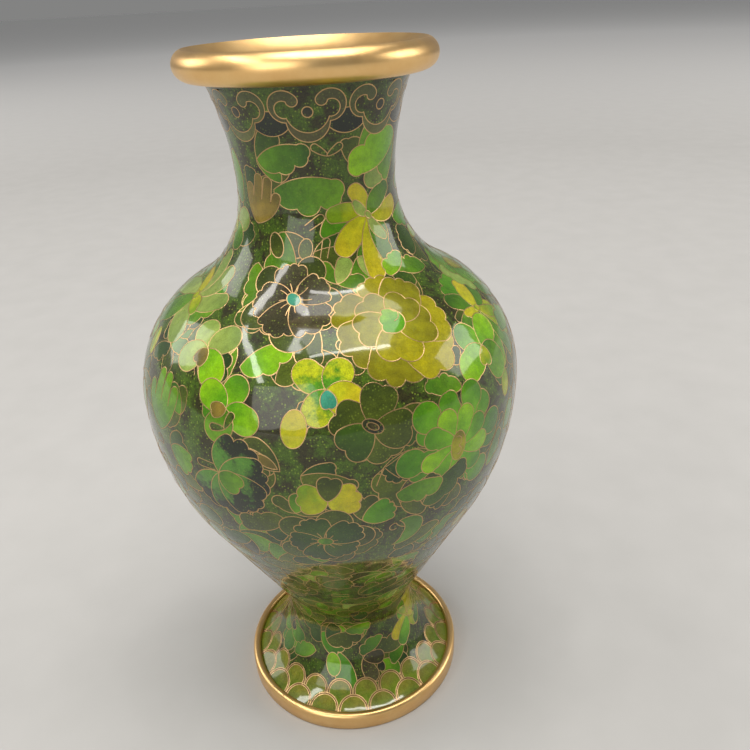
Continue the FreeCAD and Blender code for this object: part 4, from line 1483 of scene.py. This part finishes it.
def light_studio():
    """Softboxes and strips laid out after the reflections on the photographed glaze, and a pale room."""
    add_softbox("overhead_softbox", (0.5, 0.0, 3.1), 2.2, 2.2, 66.0, target=(0.5, 0.0, 0.0))
    add_softbox("left_strip", (-1.8, -0.35, 2.5), 2.7, 0.26, 30.0, across=(0.03, 0.92, 0.38))
    add_softbox("front_strip", (0.5, -1.05, 3.05), 2.2, 0.16, 17.0, across=(1.0, 0.2, 0.0))
    add_softbox("middle_strip", (-0.68, -0.3, 3.05), 1.2, 0.22, 10.0, across=(0.4, 0.92, 0.0))
    add_softbox("front_softbox", (-1.9, -3.3, 1.6), 2.7, 2.7, 62.0)
    add_softbox("side_softbox", (3.1, 0.05, 1.35), 1.5, 1.7, 32.0)
    add_softbox("rear_softbox", (-2.9, 1.3, 1.5), 1.5, 1.5, 24.0)
    world = bpy.data.worlds.new("studio")
    world.use_nodes = True
    background = world.node_tree.nodes["Background"]
    background.inputs["Color"].default_value = (0.84, 0.84, 0.83, 1)
    background.inputs["Strength"].default_value = 0.27
    bpy.context.scene.world = world


def add_camera():
    """Close by and a little above the lip, looking down on the vase, tipped as the view is."""
    pitch, roll, yaw = math.radians(25.346), math.radians(-3.114), math.radians(3.795)
    forward = Vector((math.sin(yaw) * math.cos(pitch), math.cos(yaw) * math.cos(pitch), -math.sin(pitch)))
    level = Vector((math.cos(yaw), -math.sin(yaw), 0.0))
    up = level.cross(forward)
    right = level * math.cos(roll) + up * math.sin(roll)
    above = up * math.cos(roll) - level * math.sin(roll)
    data = bpy.data.cameras.new("camera")
    data.sensor_width = 36.0
    data.lens = 35.6544
    data.shift_y = -0.04
    data.clip_start = 0.01
    camera = link_object("camera", data)
    camera.matrix_world = stand((0.0, -0.2491, 0.2665), right, above, -forward)
    bpy.context.scene.camera = camera


def main():
    """The vase's surface, the rings and the lining, then the studio round them."""
    placed = lay_out()
    points, triangles, tops, bare = partition(placed)
    make_enamel(points, triangles, tops, placed, enamel_material())
    gilding = metal_material("gilding")
    glaze = glaze_material()
    make_wires(points, wire_edges(triangles, tops, placed, bare), metal_material("gilt_wire"))
    make_lip(gilding)
    make_foot_ring(gilding)
    make_lining(glaze)
    copper, braze = metal_material("fired_copper"), metal_material("brazing")
    finish_cad_nodes({"copper": copper, "braze": braze, "lining": glaze})
    make_floor()
    light_studio()
    add_camera()
    bpy.context.scene.view_settings.view_transform = "Standard"


main()
